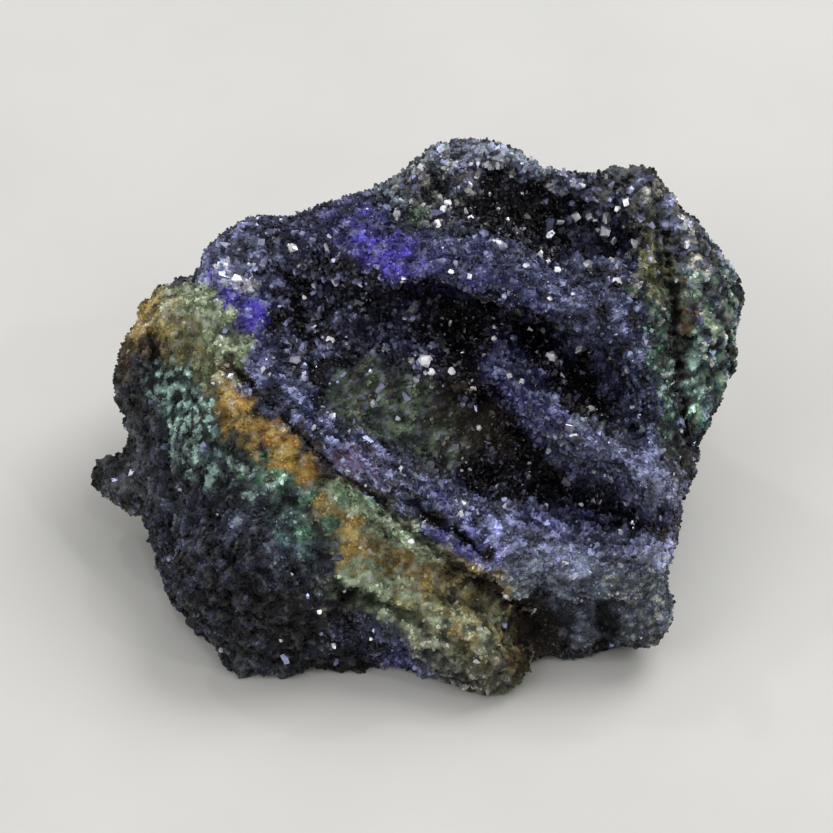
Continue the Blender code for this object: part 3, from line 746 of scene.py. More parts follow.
def select_only(obj: bpy.types.Object) -> None:
    """Makes this the one selected object, and the active one."""
    bpy.ops.object.select_all(action="DESELECT")
    obj.select_set(True)
    bpy.context.view_layer.objects.active = obj


def apply_modifier(obj: bpy.types.Object, kind: str, **options: object) -> None:
    """Adds a modifier to the object and applies it.

    Args:
        obj: The object to work on.
        kind: The modifier's type.
        **options: Values for the modifier's settings.
    """
    select_only(obj)
    modifier = obj.modifiers.new(kind.lower(), kind)
    for key, value in options.items():
        setattr(modifier, key, value)
    bpy.ops.object.modifier_apply(modifier=modifier.name)


def evened(mesh: bpy.types.Mesh, values: Array, rounds: int) -> Array:
    """Values at the mesh's points, each averaged with its neighbours' some rounds over.

    Args:
        mesh: The mesh whose edges say which points are neighbours.
        values: One row or number for each point.
        rounds: How many times to average.

    Returns:
        The averaged values.
    """
    edges = np.empty(len(mesh.edges) * 2, np.int32)
    mesh.edges.foreach_get("vertices", edges)
    start, end = edges.reshape(-1, 2).T
    count = np.bincount(edges, minlength=len(mesh.vertices)).clip(1)
    columns = values.reshape(len(values), -1).astype(float)
    for _ in range(rounds):
        total = np.column_stack(
            [
                np.bincount(start, column[end], len(columns))
                + np.bincount(end, column[start], len(columns))
                for column in columns.T
            ]
        )
        columns = 0.5 * columns + 0.5 * total / count[:, None]
    return columns.reshape(values.shape)


# ---------------------------------------------------------------- shader parts


class Shader:
    """A material's or a node group's tree, with the nodes that the finishes are made of."""

    def __init__(self, tree: bpy.types.NodeTree) -> None:
        """Starts on a node tree."""
        self.tree = tree

    def add(self, kind: str, **settings: object) -> bpy.types.Node:
        """A new node of this kind, with these settings."""
        node = self.tree.nodes.new(kind)
        for key, value in settings.items():
            setattr(node, key, value)
        return node

    def feed(self, socket: Socket, value: object) -> None:
        """Links another socket to this one, or sets its plain value."""
        if isinstance(value, bpy.types.NodeSocket):
            self.tree.links.new(value, socket)
        else:
            socket.default_value = value

    def math(self, operation: str, first: object, second: object = 0.0) -> Socket:
        """The result of a Math node."""
        node = self.add("ShaderNodeMath", operation=operation)
        self.feed(node.inputs[0], first)
        self.feed(node.inputs[1], second)
        return node.outputs[0]

    def blend(self, share: object, under: object, over: object, way: str = "MIX") -> Socket:
        """One colour mixed over another.

        Args:
            share: How much of the upper colour shows, from 0 to 1.
            under: The lower colour.
            over: The upper colour.
            way: The Mix node's blend type.

        Returns:
            The mixed colour.
        """
        node = self.add("ShaderNodeMix", data_type="RGBA", blend_type=way)
        self.feed(node.inputs["Factor"], share)
        self.feed(node.inputs[6], under)
        self.feed(node.inputs[7], over)
        return node.outputs[2]

    def ranged(self, value: object, low: float, high: float, end: tuple = (0.0, 1.0)) -> Socket:
        """A value eased from one range to another, and held at its ends.

        Args:
            value: The value to map.
            low: Where the first range starts.
            high: Where it ends.
            end: The range to map to.

        Returns:
            The mapped value.
        """
        node = self.add("ShaderNodeMapRange", interpolation_type="SMOOTHSTEP")
        for socket, given in zip(node.inputs, (value, low, high, *end)):
            self.feed(socket, given)
        return node.outputs[0]

    def place(self, stretch: tuple[float, float, float] = (1.0, 1.0, 1.0)) -> Socket:
        """The place on the piece in millimetres, squeezed along each axis by stretch."""
        found = self.add("ShaderNodeTexCoord").outputs["Object"]
        node = self.add("ShaderNodeMapping")
        self.feed(node.inputs["Vector"], found)
        self.feed(node.inputs["Scale"], tuple(1.0 / (MM * s) for s in stretch))
        return node.outputs[0]

    def cloud(self, place: Socket, size: object, detail: float = 2.0) -> Socket:
        """Soft noise, about 0 to 1, whose waves have this size in millimetres."""
        node = self.add("ShaderNodeTexNoise")
        self.feed(node.inputs["Vector"], place)
        self.feed(node.inputs["Scale"], self.per(size))
        self.feed(node.inputs["Detail"], detail)
        return node.outputs[0]

    def cells(self, place: Socket, size: object) -> bpy.types.Node:
        """A Voronoi node whose cells have this size in millimetres."""
        node = self.add("ShaderNodeTexVoronoi")
        self.feed(node.inputs["Vector"], place)
        self.feed(node.inputs["Scale"], self.per(size))
        return node

    def per(self, size: object) -> object:
        """One over a size, which may be a number or a socket."""
        return self.math("DIVIDE", 1.0, size) if isinstance(size, bpy.types.NodeSocket) else 1.0 / size

    def layer(self, name: str) -> Socket:
        """The value of a named mesh attribute."""
        return self.add("ShaderNodeAttribute", attribute_name=name).outputs["Fac"]

    def painted(self, name: str) -> Socket:
        """The colour of a named mesh attribute."""
        return self.add("ShaderNodeAttribute", attribute_name=name).outputs["Color"]

    def grey(self, value: Socket) -> Socket:
        """A grey of this value."""
        node = self.add("ShaderNodeCombineColor")
        for socket in node.inputs:
            self.feed(socket, value)
        return node.outputs[0]

    def mixed(self, share: object, under: object, over: object) -> Socket:
        """One value mixed over another."""
        node = self.add("ShaderNodeMix", data_type="FLOAT")
        for index, given in ((0, share), (2, under), (3, over)):
            self.feed(node.inputs[index], given)
        return node.outputs[0]

    def group(self, made: bpy.types.NodeTree, **given: object) -> bpy.types.Node:
        """A node group placed in this tree, with values or sockets for its inputs."""
        node = self.add("ShaderNodeGroup", node_tree=made)
        for name, value in given.items():
            self.feed(node.inputs[name.replace("_", " ").capitalize()], value)
        return node


def new_material(name: str) -> tuple[bpy.types.Material, Shader, bpy.types.Node]:
    """A new material, with its shader parts and its surface node."""
    made = bpy.data.materials.new(name)
    made.use_nodes = True
    return made, Shader(made.node_tree), made.node_tree.nodes["Principled BSDF"]


class Effect:
    """A shader node group that several materials share, with named inputs and outputs."""

    def __init__(self, name: str, inputs: dict[str, str], outputs: dict[str, str]) -> None:
        """Makes the empty group.

        Args:
            name: The group's name.
            inputs: The socket type of each input.
            outputs: The socket type of each output.
        """
        self.tree = bpy.data.node_groups.new(name, "ShaderNodeTree")
        for way, sockets in (("INPUT", inputs), ("OUTPUT", outputs)):
            for label, kind in sockets.items():
                self.tree.interface.new_socket(label, in_out=way, socket_type=f"NodeSocket{kind}")
        self.shader = Shader(self.tree)
        self.given = self.shader.add("NodeGroupInput").outputs
        self.taken = self.shader.add("NodeGroupOutput").inputs


def toned() -> bpy.types.NodeTree:
    """A tint made darker or brighter by a tone from 0 to 1, and pale at the highest tones, partly as
    painted glints.
    """
    effect = Effect(
        "Toned",
        {
            "Tint": "Color",
            "Tone": "Float",
            "Dim": "Float",
            "Bright": "Float",
            "Pale": "Color",
            "Paleness": "Float",
        },
        {"Color": "Color"},
    )
    shader, given = effect.shader, effect.given
    gain = shader.ranged(given["Tone"], 0.0, 1.0, (given["Dim"], given["Bright"]))
    color = shader.blend(1.0, given["Tint"], shader.grey(gain), "MULTIPLY")
    share = shader.math("MULTIPLY", shader.ranged(given["Tone"], 0.7, 1.0), given["Paleness"])
    shader.feed(effect.taken["Color"], shader.blend(share, color, given["Pale"]))
    return effect.tree


def weathering() -> bpy.types.NodeTree:
    """Pale rubbed edges, and pale dust caught in patches."""
    effect = Effect(
        "Weathering",
        {
            "Ground": "Color",
            "Dust": "Color",
            "Place": "Vector",
            "Proud": "Float",
            "Wear": "Float",
            "Dusting": "Float",
        },
        {"Color": "Color", "Mask": "Float"},
    )
    shader, given = effect.shader, effect.given
    fine = shader.cloud(given["Place"], 0.35, 3.0)
    slow = shader.cloud(given["Place"], 2.6, 3.0)
    rubbed = shader.math("MULTIPLY", given["Proud"], shader.ranged(fine, 0.42, 0.62))
    rubbed = shader.math("MULTIPLY", rubbed, given["Wear"])
    dusty = shader.math("MULTIPLY", shader.ranged(slow, 0.46, 0.66), shader.ranged(fine, 0.3, 0.7))
    dusty = shader.math("MULTIPLY", dusty, given["Dusting"])
    mask = shader.math("MAXIMUM", rubbed, dusty)
    shader.feed(effect.taken["Mask"], mask)
    shader.feed(effect.taken["Color"], shader.blend(mask, given["Ground"], given["Dust"]))
    return effect.tree


@dataclass
class Effects:
    """The node groups that the finishes share, each built once."""

    toned: bpy.types.NodeTree = field(default_factory=toned)
    weathering: bpy.types.NodeTree = field(default_factory=weathering)


@dataclass(frozen=True, kw_only=True)
class Finish:
    """What the finishes of the stone share: a painted tint, darker or brighter, under some dust."""

    dim: float
    bright: float
    pale: Color
    paleness: float
    roughness: float
    dust: Color
    dusting: float

    def toned(self, effects: Effects, shader: Shader, tone: Socket) -> Socket:
        """The painted tint, times a gain between dim and bright by the tone."""
        return shader.group(
            effects.toned,
            tint=shader.painted("tint"),
            tone=tone,
            dim=self.dim,
            bright=self.bright,
            pale=self.pale,
            paleness=self.paleness,
        ).outputs["Color"]

    def dusted(
        self, effects: Effects, shader: Shader, color: Socket, proud: object, wear: float
    ) -> Socket:
        """The colour with its proud edges rubbed and dust caught in patches.

        Args:
            effects: The shared node groups.
            shader: The material's shader.
            color: The colour before.
            proud: How far each place stands proud, from 0 to 1.
            wear: How much the proud edges are rubbed.

        Returns:
            The colour after.
        """
        return shader.group(
            effects.weathering,
            ground=color,
            dust=self.dust,
            place=shader.place(),
            proud=proud,
            wear=wear,
            dusting=self.dusting,
        ).outputs["Color"]


@dataclass(frozen=True, kw_only=True)
class GrainFinish(Finish):
    """The finish of a crop of crystals or grains, each a little different from the next.

    The few grains of the glint tone are painted pale, as a painted highlight for facets that catch the
    light.
    """

    dust: Color = linear(120, 120, 116)
    dusting: float = 0.04
    specular: float = 0.5
    metallic: float = 0.0
    glint: Color = linear(214, 214, 222)

    def material(self, name: str, effects: Effects) -> bpy.types.Material:
        """Builds the material.

        Args:
            name: The material's name.
            effects: The shared node groups.

        Returns:
            The material, which reads the layers tone and tint.
        """
        made, shader, surface = new_material(name)
        tone, place = shader.layer("tone"), shader.place()
        color = self.toned(effects, shader, tone)
        streak = shader.ranged(shader.cloud(place, 0.25, 2.0), 0.3, 0.7, (0.75, 1.25))
        color = shader.blend(1.0, color, shader.grey(streak), "MULTIPLY")
        # Painted highlight: grains of the glint tone take the pale glint colour.
        glint = shader.math("GREATER_THAN", tone, (1.0 + GLINT_TONE) / 2)
        color = shader.blend(glint, color, self.glint)
        shader.feed(surface.inputs["Base Color"], self.dusted(effects, shader, color, 0.0, 0.0))
        ends = (self.roughness * 0.7, self.roughness * 1.4)
        rough = shader.ranged(shader.cloud(place, 0.6, 2.0), 0.3, 0.7, ends)
        shader.feed(surface.inputs["Roughness"], rough)
        surface.inputs["Specular IOR Level"].default_value = self.specular
        surface.inputs["Metallic"].default_value = self.metallic
        return made


@dataclass(frozen=True, kw_only=True)
class StoneFinish(Finish):
    """The finish of the stone's body: its painted tints in grains, duller or glossier by mineral."""

    dim: float = 0.35
    bright: float = 1.35
    pale: Color = linear(150, 152, 158)
    paleness: float = 0.3
    grain: float = 0.32
    blotch: float = 0.7
    roughness: float = 0.6
    glossy: float = 0.36
    earthy: float = 0.84
    bump_depth: float = 0.14
    edge_wear: float = 0.25
    specular: float = 0.28
    dusting: float = 0.05
    dust: Color = linear(134, 134, 126)

    def material(self, name: str, effects: Effects) -> bpy.types.Material:
        """Builds the material.

        Args:
            name: The material's name.
            effects: The shared node groups.

        Returns:
            The material, which reads the layers tint, proud, druse, limonite and earth.
        """
        made, shader, surface = new_material(name)
        place = shader.place()
        cells = shader.cells(place, self.grain)
        draw = shader.add("ShaderNodeSeparateColor")
        shader.feed(draw.inputs[0], cells.outputs["Color"])
        limonite, earth = shader.layer(Mineral.LIMONITE.layer), shader.layer(Mineral.EARTH.layer)
        earthy = shader.math("MINIMUM", shader.math("ADD", limonite, earth), 1.0)
        blotchy = shader.ranged(shader.cloud(place, self.blotch, 4.0), 0.3, 0.7, (0.2, 0.85))
        grainy = shader.mixed(0.5, blotchy, draw.outputs[0])
        tone = shader.mixed(earthy, grainy, shader.mixed(0.25, blotchy, draw.outputs[0]))
        color = self.toned(effects, shader, tone)
        color = self.dusted(effects, shader, color, shader.layer("proud"), self.edge_wear)
        shader.feed(surface.inputs["Base Color"], color)
        rough = shader.mixed(shader.layer(Mineral.DRUSE.layer), self.roughness, self.glossy)
        rough = shader.mixed(earthy, rough, self.earthy)
        shader.feed(surface.inputs["Roughness"], rough)
        surface.inputs["Specular IOR Level"].default_value = self.specular
        grain = shader.math("SUBTRACT", 1.0, cells.outputs["Distance"])
        fine = shader.math("MULTIPLY", shader.cloud(place, 0.22, 4.0), 0.9)
        bump = shader.add("ShaderNodeBump")
        bump.inputs["Distance"].default_value = self.bump_depth * MM
        bump.inputs["Strength"].default_value = 1.0
        shader.feed(bump.inputs["Height"], shader.math("ADD", grain, fine))
        shader.feed(surface.inputs["Normal"], bump.outputs[0])
        return made


# ---------------------------------------------------------------- the stone's body


@dataclass
class StoneBody:
    """The stone itself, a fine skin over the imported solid, worked and painted by region."""

    face: OpenFace
    voxel: float = 0.28
    smoothing: int = 3
    lump: float = 1.45
    lump_height: float = 0.62
    nodule: float = 2.6
    nodule_height: float = 0.6
    knob: float = 0.8
    knob_height: float = 0.3
    pit_height: float = 0.2
    strata: float = 0.9
    strata_height: float = 0.3
    back_patch: float = 6.5
    inset: float = 0.3
    crumble: float = 0.45
    fraying: float = 1.3
    star_fraying: float = 0.6
    mineral_edge: float = 0.8
    crumbled_edge: float = 0.3
    star_edge: float = 1.2
    dark_depth: float = 0.8
    spot_edge: float = 0.14
    first_spots: float = 20.0
    crust_spots: float = 40.0
    # How dark the painted shade between lumps is, how bright the painted light on their crests, and how
    # dark the painted shade in the cracks.
    gap_painted_shade: float = 0.22
    crest_painted_light: float = 1.35
    cracked_shade: float = 0.75
    mottling: float = 0.75
    overhang: float = 0.2
    unwrap_angle: float = 1.15
    obj: bpy.types.Object | None = None
    layers: dict[str, Array] = field(default_factory=dict)
    tints: Array = field(default_factory=lambda: np.zeros((0, 3)))

    def build(self, effects: Effects, finish: StoneFinish) -> bpy.types.Object:
        """Models the body and dresses it.

        Args:
            effects: The shared node groups.
            finish: The body's finish.

        Returns:
            The finished piece.
        """
        self.obj = self.copy_solid()
        self.skin()
        self.unwrap()
        mesh = self.obj.data
        points, normals = points_of(mesh), normals_of(mesh)
        places = self.face.places(points)
        self.paint(points, normals, places)
        moved = self.grooved(points, normals, places)
        moved = self.roughened(moved, normals)
        self.settle(moved)
        self.store_layers()
        mesh.materials.clear()
        mesh.materials.append(finish.material("azurite_and_malachite_stone", effects))
        mesh.shade_smooth()
        dress(self.obj)
        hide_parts(CAD_NODE)
        return self.obj

    def copy_solid(self) -> bpy.types.Object:
        """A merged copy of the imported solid, free of its parent."""
        select_only(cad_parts[CAD_NODE])
        bpy.ops.object.duplicate()
        copy = bpy.context.object
        copy.name = "stone_body"
        copy.parent = None
        for key in [key for key in copy.keys() if key.startswith("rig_")]:
            del copy[key]
        copy.data.transform(copy.matrix_world)
        copy.matrix_world.identity()
        bpy.ops.object.mode_set(mode="EDIT")
        bpy.ops.mesh.select_all(action="SELECT")
        bpy.ops.mesh.remove_doubles(threshold=1e-6)
        bpy.ops.object.mode_set(mode="OBJECT")
        return copy

    def skin(self) -> None:
        """Gives the copy an even, fine and slightly rounded skin."""
        apply_modifier(self.obj, "REMESH", mode="VOXEL", voxel_size=self.voxel * MM)
        apply_modifier(self.obj, "SMOOTH", iterations=self.smoothing)

    def unwrap(self) -> None:
        """Lays the skin out flat in a map of its own."""
        select_only(self.obj)
        mesh = self.obj.data
        while mesh.uv_layers:
            mesh.uv_layers.remove(mesh.uv_layers[0])
        mesh.uv_layers.new(name=BAKE_MAP)
        bpy.ops.object.mode_set(mode="EDIT")
        bpy.ops.mesh.select_all(action="SELECT")
        bpy.ops.uv.smart_project(angle_limit=self.unwrap_angle, island_margin=0.002)
        bpy.ops.object.mode_set(mode="OBJECT")

    def paint(self, points: Array, normals: Array, places: Array) -> None:
        """Works out which mineral there is at each point, and its tint.

        Args:
            points: The skin's points.
            normals: The way each faces.
            places: The place of each on the open face.
        """
        weights = np.zeros((len(points), len(Mineral)))
        weights[:, Mineral.CRUST.value] = 1.0
        facing = self.face.facing(normals)
        frayed = two_waves(points, (1.3, 0.55), 0.6, (2.0, 5.0))
        crumbled = {m: two_waves(points, (1.1, 0.5), 0.7, (m.value, m.value)) for m in Mineral}
        self.paint_crust(points)
        self.paint_back(weights, points, 1.0 - facing)
        for index, patch in enumerate(PATCHES):
            gap = self.face.gaps(patch.route, places) + self.fraying * frayed
            share = patch.strength * smooth_step((patch.reach - gap) / patch.soft + 0.5) * facing
            if patch.mineral is not None:
                own = smooth_step((patch.reach - gap) / self.mineral_edge + 0.5)
                own += self.crumble * crumbled[patch.mineral]
                own = smooth_step((own - 0.5) / self.crumbled_edge + 0.5) * facing
                weights *= (1.0 - own)[:, None]
                weights[:, patch.mineral.value] += own
            if patch.spots:
                salt = self.first_spots + index
                share *= self.spotted(points, share > 0.0, patch.spots, patch.cover, salt)
            self.tint(share, patch.tint)
        for mineral in Mineral:
            self.layers[mineral.layer] = weights[:, mineral.value]
        starry = np.zeros(len(points))
        for route, reach, density in STARS:
            gap = self.face.gaps(route, places) + self.star_fraying * frayed
            near = smooth_step((reach - gap) / self.star_edge + 0.5)
            starry = np.maximum(starry, density * near)
        self.layers["starry"] = starry * facing
        mottle = two_waves(points, (1.5, 0.7), 0.7, (9.0, 10.0))
        self.layers["mottle"] = np.clip(0.5 + mottle, 0.0, 1.0)
        depth = self.mottling * (0.4 + 0.6 * weights[:, Mineral.CRUST.value])
        self.tints *= (1.0 + depth * np.clip(2.0 * mottle, -0.9, 1.0))[:, None]

    def tint(self, share: Array, tint: Tint) -> None:
        """Lays a tint over the points, by a share for each."""
        self.tints += (np.array(tint.value[:3]) - self.tints) * share[:, None]

    def spotted(self, points: Array, where: Array, size: float, cover: float, salt: float) -> Array:
        """Soft-edged spots, as 1 within a spot and 0 between them.

        Args:
            points: The skin's points.
            where: Which points the spots are wanted on.
            size: The size of the spots.
            cover: The share of those points that lie in a spot.
            salt: A number that sets these spots apart from others.

        Returns:
            One value for each point.
        """
        found = np.zeros(len(points))
        if where.any():
            level = waves(points[where], size, salt)
            edge = np.quantile(level, 1.0 - cover)
            found[where] = smooth_step((level - edge) / self.spot_edge + 0.5)
        return found

    def paint_crust(self, points: Array) -> None:
        """Tints the dark crust that everything else is painted over."""
        self.tints = np.tile(np.array(Tint.CHARCOAL.value[:3]), (len(points), 1))
        everywhere = np.ones(len(points), bool)
        kinds = (
            (Tint.NAVY, 3.2, 0.45, 1.0),
            (Tint.SLATE, 2.4, 0.25, 0.5),
            (Tint.DUSK, 1.6, 0.3, 0.3),
            (Tint.SMOKE, 0.9, 0.15, 0.6),
            (Tint.SOOT, 1.4, 0.35, 0.85),
        )
        for salt, (tint, size, cover, strength) in enumerate(kinds):
            spots = self.spotted(points, everywhere, size, cover, self.crust_spots + salt)
            self.tint(strength * spots, tint)

    def paint_back(self, weights: Array, points: Array, hidden: Array) -> None:
        """Scatters green, ochre and blue over the sides and the back.

        Args:
            weights: How much of each mineral there is, changed in place.
            points: The skin's points.
            hidden: How much each point faces away from the open side.
        """
        kinds = (
            (Mineral.MALACHITE, Tint.DEEP_TEAL, Tint.FOAM, 3.0, 0.24),
            (Mineral.EARTH, Tint.MOSS, Tint.SAGE, 4.0, 0.2),
            (Mineral.LIMONITE, Tint.MUSTARD, Tint.RUST, 5.0, 0.34),
            (Mineral.VELVET, Tint.DUSK, Tint.LAVENDER, 6.0, 0.3),
        )
        for mineral, ground, strewn, salt, rarity in kinds:
            found = two_waves(points, (self.back_patch, 1.8), 0.35, (salt, salt + 10.0))
            share = 0.9 * smooth_step((found - rarity) / 0.18) * hidden
            weights *= (1.0 - share)[:, None]
            weights[:, mineral.value] += share
            self.tint(smooth_step((found - rarity + 0.1) / 0.35) * hidden * 0.9, ground)
            self.tint(0.7 * share * self.spotted(points, share > 0.0, 0.7, 0.35, salt + 50), strewn)

    def grooved(self, points: Array, normals: Array, places: Array) -> Array:
        """The points with the cracks, the slit and the seam pressed in, and the swells raised."""
        depth = np.zeros(len(points))
        stray = 0.35 * waves(points, 1.2, 31.0)
        width = np.clip(1.0 + 1.1 * waves(points, 2.2, 32.0), 0.4, 1.5)
        for groove in GROOVES:
            gap = (self.face.gaps(groove.route, places) + stray) / (groove.reach * width)
            share = 1.0 - smooth_step((gap - groove.flat) / (1.0 - groove.flat))
            depth = np.maximum(depth, groove.depth * share * width)
        depth *= self.face.facing(normals)
        self.layers["cracked"] = np.clip(depth / self.dark_depth, 0.0, 1.0)
        moved = points - np.outer(depth, self.face.out)
        for route, reach, height in SWELLS:
            share = smooth_step(1.0 - self.face.gaps(route, places) / reach)
            moved += (height * share)[:, None] * normals
        return moved

    def roughened(self, points: Array, normals: Array) -> Array:
        """The points with each mineral's own relief raised on them, their tints given painted shade in the
        gaps and cracks and painted light on the crests.
        """
        lumps = pebbles(points, self.lump, 1.0)
        nodules = pebbles(points, self.nodule, 3.0)
        knobs = pebbles(points, self.knob, 2.0)
        pits = waves(points, 0.6, 7.0)
        along = points * np.array((0.35, 1.0, 0.8)) + points[:, [2, 0, 1]] * 0.35
        strata = waves(along, self.strata, 8.0)
        of = self.layers
        grainy = of["crust"] + 0.4 * of["malachite"] + 0.35 * of["velvet"] + 0.5 * of["earth"]
        knobby = 0.35 + of["malachite"] + 0.6 * of["velvet"] + of["crust"] - 0.35 * of["nodule"]
        rise = self.lump_height * (lumps - 0.6) * grainy - self.inset
        rise += self.nodule_height * (nodules - 0.6) * of["nodule"]
        rise += self.knob_height * (knobs - 0.6) * knobby
        rise += self.pit_height * pits * (0.4 + of["crust"] + of["earth"] + 0.4 * of["druse"])
        rise += self.strata_height * strata * (of["limonite"] + of["earth"])
        crest = 0.6 * lumps + 0.4 * knobs
        crest += (0.7 * nodules + 0.2 * knobs - crest) * of["nodule"]
        # Painted shade between the lumps and painted light on their crests.
        shade = self.gap_painted_shade + (self.crest_painted_light - self.gap_painted_shade) * smooth_step(crest / 0.9)
        shade = 1.0 + (shade - 1.0) * np.clip(grainy + 0.7 * of["nodule"], 0.0, 1.0)
        # Painted shade in the cracks and grooves.
        shade *= 1.0 - self.cracked_shade * of["cracked"]
        self.tints *= shade[:, None]
        return points + rise[:, None] * normals

    def settle(self, points: Array) -> None:
        """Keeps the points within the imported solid's box, and sets the skin to them."""
        low, high = (np.array(corner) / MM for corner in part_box(CAD_NODE))
        low, high = low - self.overhang, high + self.overhang
        low[2] = 0.0
        set_points(self.obj.data, np.clip(points, low, high))

    def store_layers(self) -> None:
        """Stores the painted layers on the mesh, with how far each point stands proud."""
        mesh = self.obj.data
        points, normals = points_of(mesh), normals_of(mesh)
        proud = ((points - evened(mesh, points, 8)) * normals).sum(axis=1)
        self.layers["proud"] = smooth_step(proud / 0.22)
        for name, values in self.layers.items():
            set_layer(mesh, name, values)
        set_tints(mesh, self.tints)


def dress(piece: bpy.types.Object) -> None:
    """Says what a finished piece rides on."""
    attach(piece, BODY)


# ---------------------------------------------------------------- crystals and grains


class Habit(Enum):
    """The shapes that crystals and grains grow in."""

    BLADE = "blade"
    CHISEL = "chisel"
    CRUMB = "crumb"
    GRAIN = "grain"
    TUFT = "tuft"


@dataclass(frozen=True)
class Form:
    """One shape, ready to be copied: its points, triangles and place in a map's cell."""

    points: Array
    triangles: Array
    corners: Array


@dataclass
class Mould:
    """Models each habit once, in a few variants, one unit high and standing on Z = 0."""

    seed: int = 5
    blade_width: float = 0.8
    blade_depth: float = 0.58
    shoulder: float = 0.72
    root: float = 0.35

    def forms(self, habit: Habit, count: int = 3) -> list[Form]:
        """The variants of a habit."""
        makers: dict[Habit, Callable[[np.random.Generator], None]] = {
            Habit.BLADE: self.blade,
            Habit.CHISEL: self.chisel,
            Habit.CRUMB: self.crumb,
            Habit.GRAIN: self.grain,
            Habit.TUFT: self.tuft,
        }
        found = []
        for variant in range(count):
            draw = np.random.default_rng((self.seed, variant, len(habit.value)))
            bpy.ops.object.select_all(action="DESELECT")
            makers[habit](draw)
            found.append(self.taken(bpy.context.object))
        return found

    def block(self, width: float, depth: float, low: float, high: float) -> None:
        """Adds a block of this footprint between two heights, and starts to edit it."""
        bpy.ops.mesh.primitive_cube_add(size=1.0, location=(0.0, 0.0, 0.0))
        bpy.ops.object.mode_set(mode="EDIT")
        bpy.ops.transform.resize(value=(width, depth, high - low))
        bpy.ops.transform.translate(value=(0.0, 0.0, (high + low) / 2))

    def select_top(self) -> Vector:
        """Selects the faces that look straight up, and gives their middle."""
        bpy.ops.mesh.select_mode(type="FACE")
        bpy.ops.mesh.select_all(action="DESELECT")
        mesh = bmesh.from_edit_mesh(bpy.context.object.data)
        top = max(f.calc_center_median().z for f in mesh.faces)
        middle = Vector()
        for face in mesh.faces:
            chosen = face.calc_center_median().z > top - 1e-4
            face.select_set(chosen)
            middle = face.calc_center_median() if chosen else middle
        bmesh.update_edit_mesh(bpy.context.object.data)
        return middle

    def blade(self, draw: np.random.Generator) -> None:
        """A flat prism that narrows to a small slanting top."""
        width = self.blade_width * draw.uniform(0.8, 1.2)
        depth = self.blade_depth * draw.uniform(0.75, 1.3)
        self.block(width, depth, -self.root, self.shoulder)
        self.select_top()
        bpy.ops.mesh.extrude_region_move(
            TRANSFORM_OT_translate={"value": (draw.uniform(-0.08, 0.08), 0.0, 1.0 - self.shoulder)}
        )
        middle = self.select_top()
        bpy.ops.transform.resize(
            value=(draw.uniform(0.35, 0.6), draw.uniform(0.2, 0.5), 1.0), center_override=middle
        )
        bpy.ops.transform.rotate(
            value=draw.uniform(-0.5, 0.5), orient_axis="Y", center_override=middle
        )
        bpy.ops.object.mode_set(mode="OBJECT")

    def chisel(self, draw: np.random.Generator) -> None:
        """A short wedge with a sharp upper edge."""
        self.block(self.blade_width * 1.15, self.blade_depth * 1.5, -self.root, 1.0)
        middle = self.select_top()
        bpy.ops.transform.resize(
            value=(draw.uniform(0.5, 0.9), draw.uniform(0.06, 0.3), 1.0), center_override=middle
        )
        bpy.ops.transform.translate(value=(*draw.uniform(-0.12, 0.12, 2), 0.0))
        bpy.ops.object.mode_set(mode="OBJECT")

    def crumb(self, draw: np.random.Generator) -> None:
        """A blunt angular grain."""
        bpy.ops.mesh.primitive_ico_sphere_add(subdivisions=1, radius=0.55, location=(0, 0, 0.2))
        bpy.ops.object.mode_set(mode="EDIT")
        bpy.ops.transform.resize(value=tuple(draw.uniform(0.75, 1.2, 3)))
        bpy.ops.transform.vertex_random(offset=0.2, seed=int(draw.integers(1000)))
        bpy.ops.object.mode_set(mode="OBJECT")

    def grain(self, draw: np.random.Generator) -> None:
        """A blunt three-sided grain with the fewest faces."""
        bpy.ops.mesh.primitive_cone_add(
            vertices=3, radius1=0.62, radius2=0.36, depth=0.9, location=(0.0, 0.0, 0.25)
        )
        bpy.ops.object.mode_set(mode="EDIT")
        bpy.ops.transform.vertex_random(offset=0.14, seed=int(draw.integers(1000)))
        bpy.ops.object.mode_set(mode="OBJECT")

    def tuft(self, draw: np.random.Generator) -> None:
        """Four needles that spread from one root."""
        needles = []
        for turn in range(4):
            bpy.ops.mesh.primitive_cone_add(
                vertices=3, radius1=0.16, radius2=0.0, depth=1.2, location=(0.0, 0.0, 0.5)
            )
            needle = bpy.context.object
            lean = 0.0 if turn == 0 else draw.uniform(0.3, 0.75)
            around = turn * math.tau / 3 + draw.uniform(-0.4, 0.4)
            axis = (math.cos(around), math.sin(around), 0.0)
            bpy.ops.object.mode_set(mode="EDIT")
            bpy.ops.transform.resize(
                value=(1.0, 1.0, draw.uniform(0.7, 1.0)), center_override=(0.0, 0.0, -0.1)
            )
            bpy.ops.object.mode_set(mode="OBJECT")
            turned = Matrix.Rotation(lean, 4, Vector(axis))
            needle.data.transform(turned @ needle.matrix_basis)
            needle.matrix_basis.identity()
            needles.append(needle)
        for needle in needles:
            needle.select_set(True)
        bpy.ops.object.join()

    def taken(self, obj: bpy.types.Object) -> Form:
        """Reads a modelled shape as a form, and removes its object.

        Args:
            obj: The modelled shape.

        Returns:
            Its form, with each corner's place in a map's cell from the side it faces.
        """
        obj.data.transform(obj.matrix_world)
        mesh = bmesh.new()
        mesh.from_mesh(obj.data)
        bmesh.ops.recalc_face_normals(mesh, faces=mesh.faces)
        bmesh.ops.triangulate(mesh, faces=mesh.faces)
        points = np.array([v.co for v in mesh.verts])
        triangles = np.array([[v.index for v in f.verts] for f in mesh.faces])
        flat = (points - points.min(axis=0)) / np.ptp(points, axis=0)
        corners = []
        for face in mesh.faces:
            way = max(range(3), key=lambda axis: abs(face.normal[axis]))
            kept = [axis for axis in range(3) if axis != way]
            corners.extend(flat[v.index][kept] for v in face.verts)
        mesh.free()
        data = obj.data
        bpy.data.objects.remove(obj, do_unlink=True)
        bpy.data.meshes.remove(data)
        return Form(points, triangles, np.array(corners))


